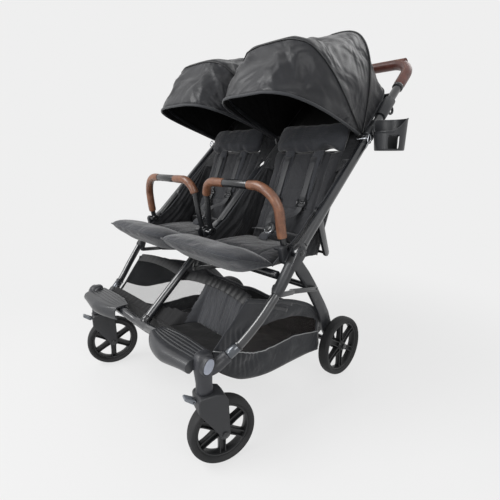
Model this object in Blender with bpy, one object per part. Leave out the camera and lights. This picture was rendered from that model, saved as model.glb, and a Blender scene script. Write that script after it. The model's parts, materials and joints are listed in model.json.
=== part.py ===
"""Side-by-side double stroller, in metres. It faces -Y, Z = 0 is the floor, +X is its left side."""

from math import acos, atan2, cos, pi, radians, sin

import bmesh
import bpy
from mathutils import Matrix, Vector

# Clearances
GAP = 0.0003
BORE_PLAY = 0.0003
SLEEVE_PLAY = 0.0006

# Seats. Their width sets the width of the whole stroller.
SEAT_HALF = 0.1425
BACK_HALF = SEAT_HALF + 0.0005
BAR_HALF = SEAT_HALF + 0.004
SEAT_X = BAR_HALF + 0.027
PAN_FRONT = -0.094
PAN_REAR = 0.084
PAN_THICK = 0.028
PAN_CROWN = 0.007
PAN_CHANNEL = 0.0025
BACK_Y = 0.092
BACK_Z = 0.442
BACK_SLOPE = radians(67.0)
BACK_LENGTH = 0.405
BACK_THICK = 0.022
BACK_CHANNEL = 0.004
BACK_PIN_R = 0.004
PILLOW_FROM = 0.62
PILLOW_THICK = 0.016

# Leg rests
REST_LENGTH = 0.148
REST_RISE = radians(17)
REST_BACK = 0.010
REST_SWEEP = 0.0101

# Frame tubes
TUBE_X = SEAT_X + BAR_HALF + 0.035
TUBE_R = 0.0125
CENTRE_TUBE_R = 0.011
LOWER_TUBE_R = 0.0105
RAIL_R = 0.009
RAIL_DISTANCE = 0.270
CROSS_TUBE_R = 0.009

# Fold pivots
FRAME_SLOPE = radians(43.7)
PIVOT_Y = -0.035
PIVOT_Z = 0.479
PIVOT_PIN_R = 0.005
PIVOT_EYE_R = 0.0165
PIVOT_HEAD_R = 0.009
LEG_EYE_THICK = 0.011
CHEEK_R = 0.0175
CHEEK_THICK = 0.005
HOUSING_R = 0.0155
HOUSING_IN = TUBE_X - TUBE_R - 0.002
HOUSING_OUT = TUBE_X + TUBE_R + 0.002
TONGUE_R = 0.0155

# Handle
HANDLE_REACH = 0.7885
HANDLE_BEND_R = 0.070
GRIP_R = 0.017
GRIP_LENGTH_DOWN = 0.125
COLLAR_R = 0.0165
COLLAR_LENGTH = 0.012
GRIP_START = HANDLE_REACH - GRIP_LENGTH_DOWN
TRIGGER_R = 0.018
TRIGGER_LENGTH = 0.077
TRIGGER_END = GRIP_START - COLLAR_LENGTH - 0.0595
TRIGGER_START = TRIGGER_END - TRIGGER_LENGTH
LOOP_R = 0.0115
LOOP_BELOW = 0.027
BACK_CROSS_DISTANCE = TRIGGER_END + 0.023
BACK_PLATE_X = TUBE_X - TUBE_R - 0.003
BACK_PLATE_REACH = 0.135

# Front end
CASTER_X = TUBE_X - 0.049
CASTER_Y = -0.298
CASTER_TURN = radians(17.5)
CASTER_TRAIL = 0.040
CROSSBAR_Z = 0.257
CROSSBAR_R = 0.012
CROSSBAR_DIP = 0.011
CROSSBAR_BACK = 0.008
HEAD_BOTTOM = 0.1890
HEAD_TOP = 0.286
HEAD_IN = CASTER_X - 0.021
HEAD_OUT = CASTER_X + 0.026
SOCKET_R = 0.015
STEERER_R = 0.007
STEERER_TOP = 0.208
LOCK_PIN = (-0.0275, 0.174)
LOCK_PIN_R = 0.002
FOOTREST_IN = 0.104
FOOTREST_OUT = HEAD_IN - 0.0015
FOOTREST_WALL = 0.004

# Wheels
FRONT_R = 0.0825
FRONT_TREAD = 0.036
REAR_R = 0.096
REAR_TREAD = 0.036
REAR_HUB_HALF = 0.016
TYRE_DEPTH = 0.017
AXLE_R = 0.005
AXLE_TUBE_R = 0.0085
REAR_X = TUBE_X - 0.060
REAR_Y = 0.260

# Rear legs: Y, Z, distance inside the handle tube, half width and thickness along the leg
LEG_AXIS = [(PIVOT_Y, PIVOT_Z, 0.0203, 0.0150, 0.0110), (-0.012, 0.4505, 0.0245, 0.0160, 0.0130),
            (0.000, 0.4365, 0.0328, 0.0165, 0.0085), (0.010, 0.425, 0.0337, 0.0170, 0.0096),
            (0.022, 0.4115, 0.0370, 0.0175, 0.0160), (0.040, 0.3915, 0.0375, 0.0175, 0.0165),
            (0.078, 0.347, 0.0430, 0.0175, 0.0170), (0.112, 0.305, 0.0510, 0.0180, 0.0170),
            (0.150, 0.262, 0.0620, 0.0190, 0.0170), (0.188, 0.214, 0.0750, 0.0225, 0.0165),
            (0.214, 0.178, 0.0865, 0.0240, 0.0140), (0.240, 0.135, 0.0890, 0.0200, 0.0140),
            (REAR_Y, REAR_R, 0.0910, 0.0160, 0.0150)]
LEG_BOSS = TUBE_X - 0.0822
LEG_BOSS_LENGTH = 0.0168
CROSS_TUBE = (0.078, 0.347)
CROSS_END = TUBE_X - 0.0565

# Folding braces
BRACE_X = TUBE_X - 0.025
BRACE_FRONT = Vector((0.0, -0.108, 0.374))
BRACE_MIDDLE = Vector((0.0, -0.030, 0.366))
BRACE_REAR = Vector((0.0, 0.078, 0.347))
BRACE_R = 0.0065
BRACE_PIN_R = 0.0025
WEB_LENGTH = 0.0255
WEB_R = 0.010

# Bumper bars
BAR_Y = -0.072
BAR_Z = 0.488
BAR_R = 0.0085
BAR_TOP_Y = -0.109
BAR_TOP_Z = 0.645
BAR_CORNER = 0.052
BAR_MIDDLE_R = 0.0115
BAR_MIDDLE_HALF = 0.054
BAR_GRIP_R = 0.0125
BAR_FOOT_HALF = 0.007
BAR_FOOT_R = 0.011
BAR_PIN_R = 0.005
BAR_LUG_R = 0.010
BAR_LUG_FOOT = (-0.064, 0.460)

# Harnesses
HARNESS_LIFT = 0.0035
SHOULDER_LOW = (0.052, 0.37 * BACK_LENGTH)
SHOULDER_HIGH = (0.058, 0.756 * BACK_LENGTH)
SHOULDER_WIDTH = 0.040
SHOULDER_THICK = 0.009
STRAP_WIDTH = 0.020
STRAP_THICK = 0.003
BUCKLE = Vector((0.0, 0.050, 0.503))
BUCKLE_TILT = radians(52)
BUCKLE_R = 0.020
BUTTON_R = 0.0095

# Canopies, with the turn, reach and squareness of each bow from front to back
HOOD_Y = 0.262
HOOD_Z = 0.7765
HOOD_HALF = SEAT_HALF + 0.0255
HOOD_SHELL = 0.003
HOOD_HUB_R = 0.012
HOOD_CLEAR_R = 0.026
HOOD_PIN_R = 0.004
HOOD_EAR_X = 0.0045
HOOD_BOWS = ((radians(159.8), 0.327, 3.9), (radians(130.3), 0.328, 4.0),
             (radians(72.9), 0.356, 2.5), (radians(44.8), 0.238, 5.0))
HOOD_SPAN_COUNTS = (2, 3, 2)
HOOD_DRAWN_IN = (-0.005, 0.008, 0.009)
BOW_INSET = 0.0022
BOW_WIDTH = 0.010
BOW_THICK = 0.0024

# Cup holder
CUP_CLAMP = TRIGGER_START - 0.090
CUP_CLAMP_LENGTH = 0.034
CUP_HEIGHT = 0.090
CUP_TOP_R = 0.047
CUP_BOTTOM_R = 0.041
CUP_WALL = 0.0026
CUP_FLOOR = 0.003
CUP_RIM_DIP = 0.010
CUP_DROP = 0.0514
CUP_CLEAR = 0.004

# Basket, its floor and rim as (y, z) points
BASKET_HALF = TUBE_X - 0.070
BASKET_WALL = 0.003
BASKET_TAPER = 0.010
BASKET_TOP_DISTANCE = 0.182
BASKET_LOW_DISTANCE = 0.034
BASKET_FOLDS = 6
BASKET_FOLD_DEPTH = 0.006
BASKET_FLOOR = [(-0.249, 0.214), (-0.166, 0.166), (-0.130, 0.156), (-0.046, 0.152), (0.097, 0.139),
                (0.137, 0.127)]
BASKET_REAR = (0.137, 0.272)
BASKET_RIM = [(-0.052, 0.330), (0.057, 0.322)]

# Brake pedal
PEDAL_FROM = 0.140
PEDAL_TO = 0.190

# Colour, roughness and metallic value of each finish
BLACK_METAL = ((0.030, 0.031, 0.034), 0.38, 0.6)
BLACK_PLASTIC = ((0.028, 0.029, 0.031), 0.55, 0.0)
GREY_PLASTIC = ((0.30, 0.31, 0.33), 0.45, 0.0)
RUBBER = ((0.020, 0.020, 0.021), 0.85, 0.0)
FABRIC = ((0.035, 0.037, 0.041), 0.9, 0.0)
HOOD_FABRIC = ((0.040, 0.044, 0.050), 0.7, 0.0)
BROWN_LEATHER = ((0.33, 0.125, 0.060), 0.5, 0.0)
DARK_LEATHER = ((0.16, 0.065, 0.045), 0.5, 0.0)

SIDES = (("left", 1), ("right", -1))


def clear_scene():
    for item in list(bpy.data.objects):
        bpy.data.objects.remove(item, do_unlink=True)


def link(name, bm):
    bmesh.ops.recalc_face_normals(bm, faces=bm.faces)
    mesh = bpy.data.meshes.new(name)
    bm.to_mesh(mesh)
    bm.free()
    item = bpy.data.objects.new(name, mesh)
    bpy.context.scene.collection.objects.link(item)
    return item


def carry(name, place, parent=None, turn=0.0):
    """Empty on a joint's axis. The pieces that the joint moves are its children."""
    empty = bpy.data.objects.new(name, None)
    bpy.context.scene.collection.objects.link(empty)
    if parent:
        empty.parent = bpy.data.objects[parent]
    bpy.context.view_layer.update()
    empty.matrix_world = Matrix.Translation(place) @ Matrix.Rotation(turn, 4, "Z")
    bpy.context.view_layer.update()


def finish(item, name, look, carrier="stroller"):
    """Name a piece, give it its material, shade its round faces smooth and hang it on its carrier."""
    item.name = name
    item.data.name = name
    colour, roughness, metallic = look
    material = bpy.data.materials.new(name)
    material.use_nodes = True
    shader = material.node_tree.nodes["Principled BSDF"]
    shader.inputs["Base Color"].default_value = (*colour, 1.0)
    shader.inputs["Roughness"].default_value = roughness
    shader.inputs["Metallic"].default_value = metallic
    material.diffuse_color = (*colour, 1.0)
    item.data.materials.clear()
    item.data.materials.append(material)
    item.data.shade_smooth()
    item.data.set_sharp_from_angle(angle=radians(35))
    item.parent = bpy.data.objects[carrier]
    item.data.transform(item.parent.matrix_world.inverted())
    return item


def combine(base, others, operation):
    """Join the other solids to the base, or cut them out of it, and remove them."""
    for other in others:
        modifier = base.modifiers.new("combine", "BOOLEAN")
        modifier.operation = operation
        modifier.solver = "EXACT"
        modifier.object = other
        bpy.context.view_layer.update()
        graph = bpy.context.evaluated_depsgraph_get()
        mesh = bpy.data.meshes.new_from_object(base.evaluated_get(graph))
        base.modifiers.clear()
        base.data = mesh
        bpy.data.objects.remove(other, do_unlink=True)
    return base


def fuse(base, *others):
    return combine(base, others, "UNION")


def cut(base, *others):
    return combine(base, others, "DIFFERENCE")


def bevelled(item, width, segments=1, angle=40):
    """Round a solid's edges."""
    modifier = item.modifiers.new("edges", "BEVEL")
    modifier.width = width
    modifier.segments = segments
    modifier.limit_method = "ANGLE"
    modifier.angle_limit = radians(angle)
    bpy.context.view_layer.update()
    graph = bpy.context.evaluated_depsgraph_get()
    mesh = bpy.data.meshes.new_from_object(item.evaluated_get(graph))
    item.modifiers.clear()
    item.data = mesh
    return item


def curve_through(points, steps):
    """Smooth curve through points, with the given number of steps in each span."""
    points = [Vector(point) for point in points]
    padded = [points[0] * 2 - points[1]] + points + [points[-1] * 2 - points[-2]]
    result = []
    for index in range(1, len(padded) - 2):
        before, start, end, after = padded[index - 1:index + 3]
        for step in range(steps):
            t = step / steps
            result.append(0.5 * (2 * start + (end - before) * t
                                 + (2 * before - 5 * start + 4 * end - after) * t ** 2
                                 + (3 * start - before - 3 * end + after) * t ** 3))
    result.append(points[-1])
    return result


def rings_along(points, radii, sides, start_normal, stretch):
    rings = []
    normal = Vector(start_normal)
    last = len(points) - 1
    for index, point in enumerate(points):
        forward = (points[min(index + 1, last)] - points[max(index - 1, 0)]).normalized()
        normal = (normal - forward * normal.dot(forward)).normalized()
        across = forward.cross(normal)
        ring = []
        for side in range(sides):
            angle = 2 * pi * (side + 0.5) / sides
            ring.append(point + normal * cos(angle) * radii[index] * stretch
                        + across * sin(angle) * radii[index])
        rings.append(ring)
    return rings


def skin(bm, rings, flip=False):
    """Faces between closed rings of points, and the rings' vertices."""
    loops = [[bm.verts.new(point) for point in ring] for ring in rings]
    count = len(loops[0])
    for lower, upper in zip(loops, loops[1:]):
        for side in range(count):
            after = (side + 1) % count
            quad = [lower[side], lower[after], upper[after], upper[side]]
            bm.faces.new(reversed(quad) if flip else quad)
    return loops


def loft(rings):
    bm = bmesh.new()
    loops = skin(bm, rings)
    bm.faces.new(list(reversed(loops[0])))
    bm.faces.new(loops[-1])
    return link("loft", bm)


def tube(points, radius, sides=10, start_normal=(1, 0, 0), stretch=1.0):
    """Solid round bar along points. The radius is one value or one for each point."""
    points = [Vector(point) for point in points]
    radii = radius if isinstance(radius, list) else [radius] * len(points)
    return loft(rings_along(points, radii, sides, start_normal, stretch))


def sleeve(points, radius, bore, sides=10, start_normal=(1, 0, 0)):
    """Hollow round bar along points, open at both ends."""
    points = [Vector(point) for point in points]
    count = len(points)
    bm = bmesh.new()
    outer = skin(bm, rings_along(points, [radius] * count, sides, start_normal, 1.0))
    inner = skin(bm, rings_along(points, [bore] * count, sides, start_normal, 1.0), flip=True)
    for end in (0, -1):
        for side in range(sides):
            after = (side + 1) % sides
            bm.faces.new([outer[end][side], outer[end][after], inner[end][after], inner[end][side]])
    return link("sleeve", bm)


def pin(x_from, x_to, y, z, radius, sides=10):
    return tube([(x_from, y, z), (x_to, y, z)], radius, sides, start_normal=(0, 0, 1))


def prism(outline, x_from, x_to):
    """Solid with a side outline of (y, z) points, from one X to another."""
    return loft([[Vector((x, y, z)) for y, z in outline] for x in (x_from, x_to)])


def arc(y, z, radius, start, end, steps):
    return [(y + radius * cos(start + (end - start) * step / steps),
             z + radius * sin(start + (end - start) * step / steps)) for step in range(steps + 1)]


def link_outline(first, first_r, second, second_r, steps=4):
    """Outline of two circles and their outer tangents."""
    along = Vector(second) - Vector(first)
    heading = atan2(along.y, along.x)
    spread = acos((first_r - second_r) / along.length)
    return (arc(*first, first_r, heading + spread, heading + 2 * pi - spread, steps)
            + arc(*second, second_r, heading - spread, heading + spread, steps))


def box(x_range, y_range, z_range):
    outline = [(y_range[0], z_range[0]), (y_range[1], z_range[0]),
               (y_range[1], z_range[1]), (y_range[0], z_range[1])]
    return prism(outline, *x_range)


def moved(item, matrix):
    item.data.transform(matrix)
    return item


def quilt(bm, place, height, columns, rows):
    """Faces of one side of a cushion, and the vertices round its border."""
    grid = []
    for row in range(rows + 1):
        v = -cos(pi * row / rows)
        across = [-cos(pi * column / columns) for column in range(columns + 1)]
        grid.append([bm.verts.new(place(u, v, height(u, v))) for u in across])
    for row in range(rows):
        for column in range(columns):
            bm.faces.new([grid[row][column], grid[row][column + 1],
                          grid[row + 1][column + 1], grid[row + 1][column]])
    return (grid[0][:-1] + [line[-1] for line in grid[:-1]]
            + grid[-1][:0:-1] + [line[0] for line in grid[:0:-1]])


def pad(place, top, bottom, columns, rows):
    """Closed cushion. Its top height, and its bottom one unless flat, are functions of u and v."""
    bm = bmesh.new()
    upper = quilt(bm, place, top, columns, rows)
    if callable(bottom):
        lower = quilt(bm, place, bottom, columns, rows)
    else:
        flat = []
        for v, across in ((-1, range(columns)), (1, range(columns, 0, -1))):
            flat.append([bm.verts.new(place(-cos(pi * column / columns), v, bottom)) for column in across])
        lower = flat[0]
        lower += [bm.verts.new(place(1, -cos(pi * row / rows), bottom)) for row in range(rows)]
        lower += flat[1]
        lower += [bm.verts.new(place(-1, -cos(pi * row / rows), bottom)) for row in range(rows, 0, -1)]
        bm.faces.new(lower)
    for here, after, under, under_after in zip(upper, upper[1:] + upper[:1], lower, lower[1:] + lower[:1]):
        bm.faces.new([under, under_after, after, here])
    return link("pad", bm)


def on_frame(distance, x, below=0.0):
    """Point on the upper frame's line, measured from the fold pivot."""
    return Vector((x, PIVOT_Y + distance * cos(FRAME_SLOPE) + below * sin(FRAME_SLOPE),
                   PIVOT_Z + distance * sin(FRAME_SLOPE) - below * cos(FRAME_SLOPE)))


# Places that follow from the sizes above
SOCKET_END = Vector((TUBE_X - 0.0414, -0.2338, 0.2566))
LOWER_BEND = Vector((TUBE_X - 0.028, -0.202, 0.282))
SOCKET_DIRECTION = (LOWER_BEND - SOCKET_END).normalized()
SLEEVE_FOOT = Vector((TUBE_X - 0.001, -0.1132, 0.3850))
SLEEVE_DIRECTION = (Vector((TUBE_X - 0.001, PIVOT_Y, PIVOT_Z)) - SLEEVE_FOOT).normalized()
SLEEVE_END = Vector((TUBE_X - 0.001, PIVOT_Y, PIVOT_Z)) - SLEEVE_DIRECTION * 0.036
CENTRE_FOOT = Vector((0.0, CASTER_Y + CROSSBAR_BACK, CROSSBAR_Z - CROSSBAR_DIP))
CENTRE_AXIS = (Vector((0.0, PIVOT_Y, PIVOT_Z)) - CENTRE_FOOT).normalized()
RAIL_POINT = CENTRE_FOOT + CENTRE_AXIS * RAIL_DISTANCE
PAN_BOTTOM = RAIL_POINT.z + RAIL_R + GAP
PAN_TOP = PAN_BOTTOM + PAN_THICK
BACK_ALONG = Vector((0.0, cos(BACK_SLOPE), sin(BACK_SLOPE)))
BACK_FACE = Vector((0.0, -sin(BACK_SLOPE), cos(BACK_SLOPE)))
BACK_PIVOT = Vector((0.0, BACK_Y, BACK_Z)) + BACK_ALONG * 0.012 - BACK_FACE * BACK_THICK * 0.5
REST_HINGE = Vector((0.0, PAN_FRONT - REST_SWEEP - GAP, PAN_TOP - 0.012))
CUP_MIDDLE = on_frame(CUP_CLAMP + CUP_CLAMP_LENGTH / 2, 0.0)
CUP_CENTRE = Vector((TUBE_X + TUBE_R + CUP_TOP_R + CUP_CLEAR, CUP_MIDDLE.y, CUP_MIDDLE.z - CUP_DROP))


def solid_wheel(radius, tread, hub_half, hub_r):
    """Tyre and six-spoked rim about the local X axis at the origin."""
    rim_r = radius - TYRE_DEPTH
    steps = 32
    half = tread / 2
    seat = rim_r / cos(pi / steps)
    shoulder = radius - TYRE_DEPTH * 0.53
    profile = [(seat, -0.62 * half), (shoulder, -half), (radius, -0.45 * half),
               (radius, 0.45 * half), (shoulder, half), (seat, 0.62 * half)]
    bm = bmesh.new()
    loops = []
    for step in range(steps):
        angle = 2 * pi * step / steps - pi / 2
        loops.append([Vector((x, r * cos(angle), r * sin(angle))) for r, x in profile])
    skin(bm, loops + loops[:1])
    bmesh.ops.remove_doubles(bm, verts=bm.verts, dist=1e-6)
    tyre = link("tyre", bm)

    spokes = 6
    spoke_half = 0.0085
    flute = 0.003
    rows = [(AXLE_R + BORE_PLAY, hub_half), (hub_r, 0.8 * hub_half),
            (rim_r - 0.007, 0.44 * half), (rim_r - GAP, 0.58 * half)]
    share = [-1.0, 0.0, 1.0]
    windows = 3
    columns = []
    for spoke in range(spokes):
        for part in share:
            columns.append((spoke, part, 0.0))
        for window in range(1, windows):
            columns.append((spoke, 1.0, window / windows))

    def angle_at(column, r):
        spoke, part, into = column
        turn = 2 * pi * spoke / spokes + pi / 6
        edge = min(spoke_half / r, pi / spokes * 0.8)
        if into == 0.0:
            return turn + part * edge
        return turn + edge + (2 * pi / spokes - 2 * edge) * into

    def present(row, column_index):
        if row != 1:
            return True
        return columns[column_index][2] == 0.0 and columns[column_index][1] < 1.0

    bm = bmesh.new()
    count = len(columns)
    faces_of = []
    for side in (-1, 1):
        grid = []
        for index, (r, thick) in enumerate(rows):
            ring = []
            for column in columns:
                depth = thick
                if index in (1, 2) and column[1] == 0.0 and column[2] == 0.0:
                    depth = thick - flute
                angle = angle_at(column, r)
                ring.append(bm.verts.new((side * depth, r * cos(angle), r * sin(angle))))
            grid.append(ring)
        faces_of.append(grid)
    back, front = faces_of
    last = len(rows) - 1
    for row in range(last):
        for index in range(count):
            if not present(row, index):
                continue
            after = (index + 1) % count
            for grid in (back, front):
                bm.faces.new([grid[row][index], grid[row][after], grid[row + 1][after], grid[row + 1][index]])
            edges = []
            if row == 0 or not present(row - 1, index):
                edges.append(((row, index), (row, after)))
            if row == last - 1 or not present(row + 1, index):
                edges.append(((row + 1, index), (row + 1, after)))
            if not present(row, after):
                edges.append(((row, after), (row + 1, after)))
            if not present(row, (index - 1) % count):
                edges.append(((row, index), (row + 1, index)))
            for start, end in edges:
                bm.faces.new([back[start[0]][start[1]], back[end[0]][end[1]],
                              front[end[0]][end[1]], front[start[0]][start[1]]])
    return tyre, link("rim", bm)


def mirrored_to(side, point):
    return Vector((side * point[0], point[1], point[2]))


def front_casters():
    for name, side in SIDES:
        place = (Matrix.Translation((side * CASTER_X, CASTER_Y, 0.0))
                 @ Matrix.Rotation(-CASTER_TURN, 4, "Z"))
        hub = Matrix.Translation((0.0, CASTER_TRAIL, FRONT_R))
        slot = FRONT_TREAD / 2 + 0.003
        blade = slot + 0.006
        hub_half = FRONT_TREAD / 2 - 0.003
        boss = 0.009
        crown_top = HEAD_BOTTOM - 2 * GAP
        tyre, rim = solid_wheel(FRONT_R, FRONT_TREAD, hub_half, 0.014)
        finish(moved(tyre, place @ hub), f"front_tyre_{name}", RUBBER, f"front_wheel_{name}")
        finish(moved(rim, place @ hub), f"front_rim_{name}", BLACK_PLASTIC, f"front_wheel_{name}")

        outline = ([(-0.021, 0.150), (-0.022, crown_top - 0.006), (-0.016, crown_top),
                    (0.022, crown_top), (0.040, crown_top - 0.006), (0.050, crown_top - 0.020)]
                   + arc(CASTER_TRAIL, FRONT_R, 0.014, radians(15), radians(-190), 8))
        fork = prism(outline, -blade, blade)
        bevelled(fork, 0.0025)
        cut(fork, moved(pin(-slot, slot, 0, 0, FRONT_R + 0.0045, 28), hub))
        fuse(fork,
             moved(pin(-slot - 0.003, -hub_half - GAP, 0, 0, boss), hub),
             moved(pin(hub_half + GAP, slot + 0.003, 0, 0, boss), hub),
             moved(pin(-blade + 0.002, blade - 0.002, 0, 0, AXLE_R), hub),
             tube([(0, 0, crown_top - 0.008), (0, 0, STEERER_TOP)], STEERER_R, 12),
             prism(link_outline((-0.014, 0.174), 0.005, LOCK_PIN, 0.005), -0.004, 0.004),
             pin(-0.0085, 0.0085, *LOCK_PIN, LOCK_PIN_R, 8))
        finish(moved(fork, place), f"fork_{name}", BLACK_PLASTIC, f"caster_{name}")

        lever = prism(link_outline(LOCK_PIN, 0.0048, (-0.046, 0.186), 0.0032), -0.009, 0.009)
        cut(lever,
            prism(link_outline((-0.018, 0.166), 0.0095, LOCK_PIN, 0.0075), -0.0043, 0.0043),
            pin(-0.012, 0.012, *LOCK_PIN, LOCK_PIN_R + BORE_PLAY, 8))
        finish(moved(lever, place), f"swivel_lock_{name}", GREY_PLASTIC, f"lock_{name}")


def caster_heads():
    for name, side in SIDES:
        def ring(z, x_radius, y_radius, y_shift=0.0):
            return [Vector((side * CASTER_X + x_radius * cos(2 * pi * step / 12),
                            CASTER_Y + y_shift + y_radius * sin(2 * pi * step / 12), z))
                    for step in range(12)]

        head = loft([ring(HEAD_BOTTOM, 0.0165, 0.018), ring(HEAD_BOTTOM + 0.012, 0.0165, 0.0185),
                     ring(0.225, 0.0175, 0.020, -0.001), ring(0.252, 0.019, 0.023, -0.002),
                     ring(0.274, 0.018, 0.022, -0.001), ring(HEAD_TOP, 0.011, 0.014)])
        barrel_turn = radians(-28)
        barrel_centre = Vector((0.0, CASTER_Y - 0.004, 0.262))

        def barrel_ring(x, scale):
            ring_points = []
            for step in range(12):
                tall = 0.0215 * scale * sin(2 * pi * step / 12)
                wide = 0.0150 * scale * cos(2 * pi * step / 12)
                ring_points.append(barrel_centre + Vector((
                    side * x, wide * cos(barrel_turn) - tall * sin(barrel_turn),
                    wide * sin(barrel_turn) + tall * cos(barrel_turn))))
            return ring_points

        barrel = loft([barrel_ring(HEAD_IN, 0.9), barrel_ring(HEAD_IN + 0.006, 1.0),
                       barrel_ring(HEAD_OUT - 0.003, 1.0), barrel_ring(HEAD_OUT, 0.92),
                       barrel_ring(HEAD_OUT, 0.80), barrel_ring(HEAD_OUT + 0.002, 0.76)])
        socket_end = mirrored_to(side, SOCKET_END)
        reach = mirrored_to(side, SOCKET_DIRECTION)
        socket_points = curve_through([(side * (CASTER_X - 0.0015), -0.290, 0.236),
                                       (side * (CASTER_X + 0.0002), -0.266, 0.2375),
                                       socket_end - reach * 0.012], 2)
        socket = tube(socket_points + [socket_end], SOCKET_R)
        fuse(head, barrel, socket)
        cut(head, tube([(side * CASTER_X, CASTER_Y, HEAD_BOTTOM - 0.005),
                        (side * CASTER_X, CASTER_Y, STEERER_TOP + 0.001)], STEERER_R + BORE_PLAY, 12))
        finish(head, f"caster_head_{name}", BLACK_PLASTIC)


def front_crossbar():
    end = HEAD_IN - 2 * GAP
    half = [(end, 0.0, 0.0), (0.10, 0.0, 0.0), (0.035, CROSSBAR_BACK, -CROSSBAR_DIP)]
    points = [(x, CASTER_Y + back, CROSSBAR_Z + up) for x, back, up in half]
    points += [(-x, y, z) for x, y, z in reversed(points)]
    finish(tube(points, CROSSBAR_R, 14, start_normal=(0, 0, 1)), "front_crossbar", BLACK_METAL)


def footrests():
    """Ribbed tread shells that hook over the front crossbar."""
    top = CROSSBAR_Z + CROSSBAR_R + FOOTREST_WALL + 0.0012
    under = CROSSBAR_Z + CROSSBAR_R + 2 * GAP
    rear = CASTER_Y + 0.031
    nose_y = CASTER_Y - 0.035
    nose_r = (top - 0.2335) / 2
    nose_z = top - nose_r
    wall = FOOTREST_WALL
    grooves = 5
    pitch = 0.0115
    tread = []
    for groove in range(grooves):
        start = rear - 0.006 - groove * pitch
        tread += [(start, top), (start - 0.0015, top - 0.0013), (start - 0.004, top - 0.0013),
                  (start - 0.0055, top)]
    profile = ([(rear, under - 0.007), (rear, top - 0.001)] + tread
               + arc(nose_y, nose_z, nose_r, radians(90), radians(255), 6)
               + arc(nose_y, nose_z, nose_r - wall, radians(255), radians(90), 4)
               + [(nose_y, under), (rear - wall, under), (rear - wall, under - 0.007)])
    length = FOOTREST_OUT - FOOTREST_IN
    stations = [(FOOTREST_IN + length * share, scale) for share, scale in
                ((0.0, 0.50), (0.045, 0.70), (0.145, 0.88), (0.34, 0.99), (0.73, 1.02), (1.0, 0.97))]
    for name, side in SIDES:
        rings = [[Vector((side * x, CASTER_Y + (y - CASTER_Y) * scale, z)) for y, z in profile]
                 for x, scale in stations]
        finish(loft(rings), f"footrest_{name}", BLACK_PLASTIC)


def lower_side_tubes():
    """Bars that bow outwards from the caster heads up to the pivot housings."""
    for name, side in SIDES:
        start = SOCKET_END + SOCKET_DIRECTION * GAP
        end = SLEEVE_FOOT - SLEEVE_DIRECTION * GAP
        bowed = [start + SOCKET_DIRECTION * 0.006, LOWER_BEND, (TUBE_X - 0.011, -0.158, 0.331),
                 end - SLEEVE_DIRECTION * 0.006]
        points = [start] + curve_through(bowed, 3) + [end]
        finish(tube([mirrored_to(side, point) for point in points], LOWER_TUBE_R),
               f"lower_tube_{name}", BLACK_METAL)


def bar_plate(x_from, x_to):
    """Ear that carries a bumper bar's foot."""
    return prism(link_outline((BAR_Y, BAR_Z), BAR_LUG_R, BAR_LUG_FOOT, BAR_LUG_R + 0.0005), x_from, x_to)


def pivot_housings():
    for name, side in SIDES:
        foot = mirrored_to(side, SLEEVE_FOOT)
        end = mirrored_to(side, SLEEVE_END)
        housing = tube([foot, foot + SLEEVE_DIRECTION * 0.006, end - SLEEVE_DIRECTION * 0.006, end],
                       [0.0125, 0.0145, HOUSING_R, 0.0150], 12)
        cheek_outline = link_outline((PIVOT_Y, PIVOT_Z), CHEEK_R, (SLEEVE_END.y, SLEEVE_END.z), 0.0135)
        fuse(housing,
             prism(cheek_outline, side * HOUSING_IN, side * (HOUSING_IN + CHEEK_THICK)),
             prism(cheek_outline, side * (HOUSING_OUT - CHEEK_THICK), side * HOUSING_OUT))
        head_in = HOUSING_IN - LEG_EYE_THICK - 2 * GAP
        pin_end = head_in - 0.0054
        brace_lug = SLEEVE_FOOT + SLEEVE_DIRECTION * 0.016
        fuse(housing,
             bar_plate(side * (SEAT_X + BAR_HALF + BAR_FOOT_HALF + 0.0017), side * (HOUSING_IN + 0.0013)),
             pin(side * (HOUSING_OUT - 0.002), side * pin_end, PIVOT_Y, PIVOT_Z, PIVOT_PIN_R),
             pin(side * pin_end, side * head_in, PIVOT_Y, PIVOT_Z, PIVOT_HEAD_R),
             pin(side * (HOUSING_IN - 0.0093), side * (SEAT_X + BAR_HALF - 0.009), BAR_Y, BAR_Z, BAR_PIN_R),
             prism(link_outline((BRACE_FRONT.y, BRACE_FRONT.z), 0.0070, (brace_lug.y, brace_lug.z), 0.0100),
                   side * (HOUSING_IN - 0.0017), side * (HOUSING_IN + 0.0015)),
             pin(side * HOUSING_IN, side * (HOUSING_IN - 0.0090), BRACE_FRONT.y, BRACE_FRONT.z, BRACE_PIN_R))
        finish(housing, f"pivot_housing_{name}", BLACK_PLASTIC)


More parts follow.
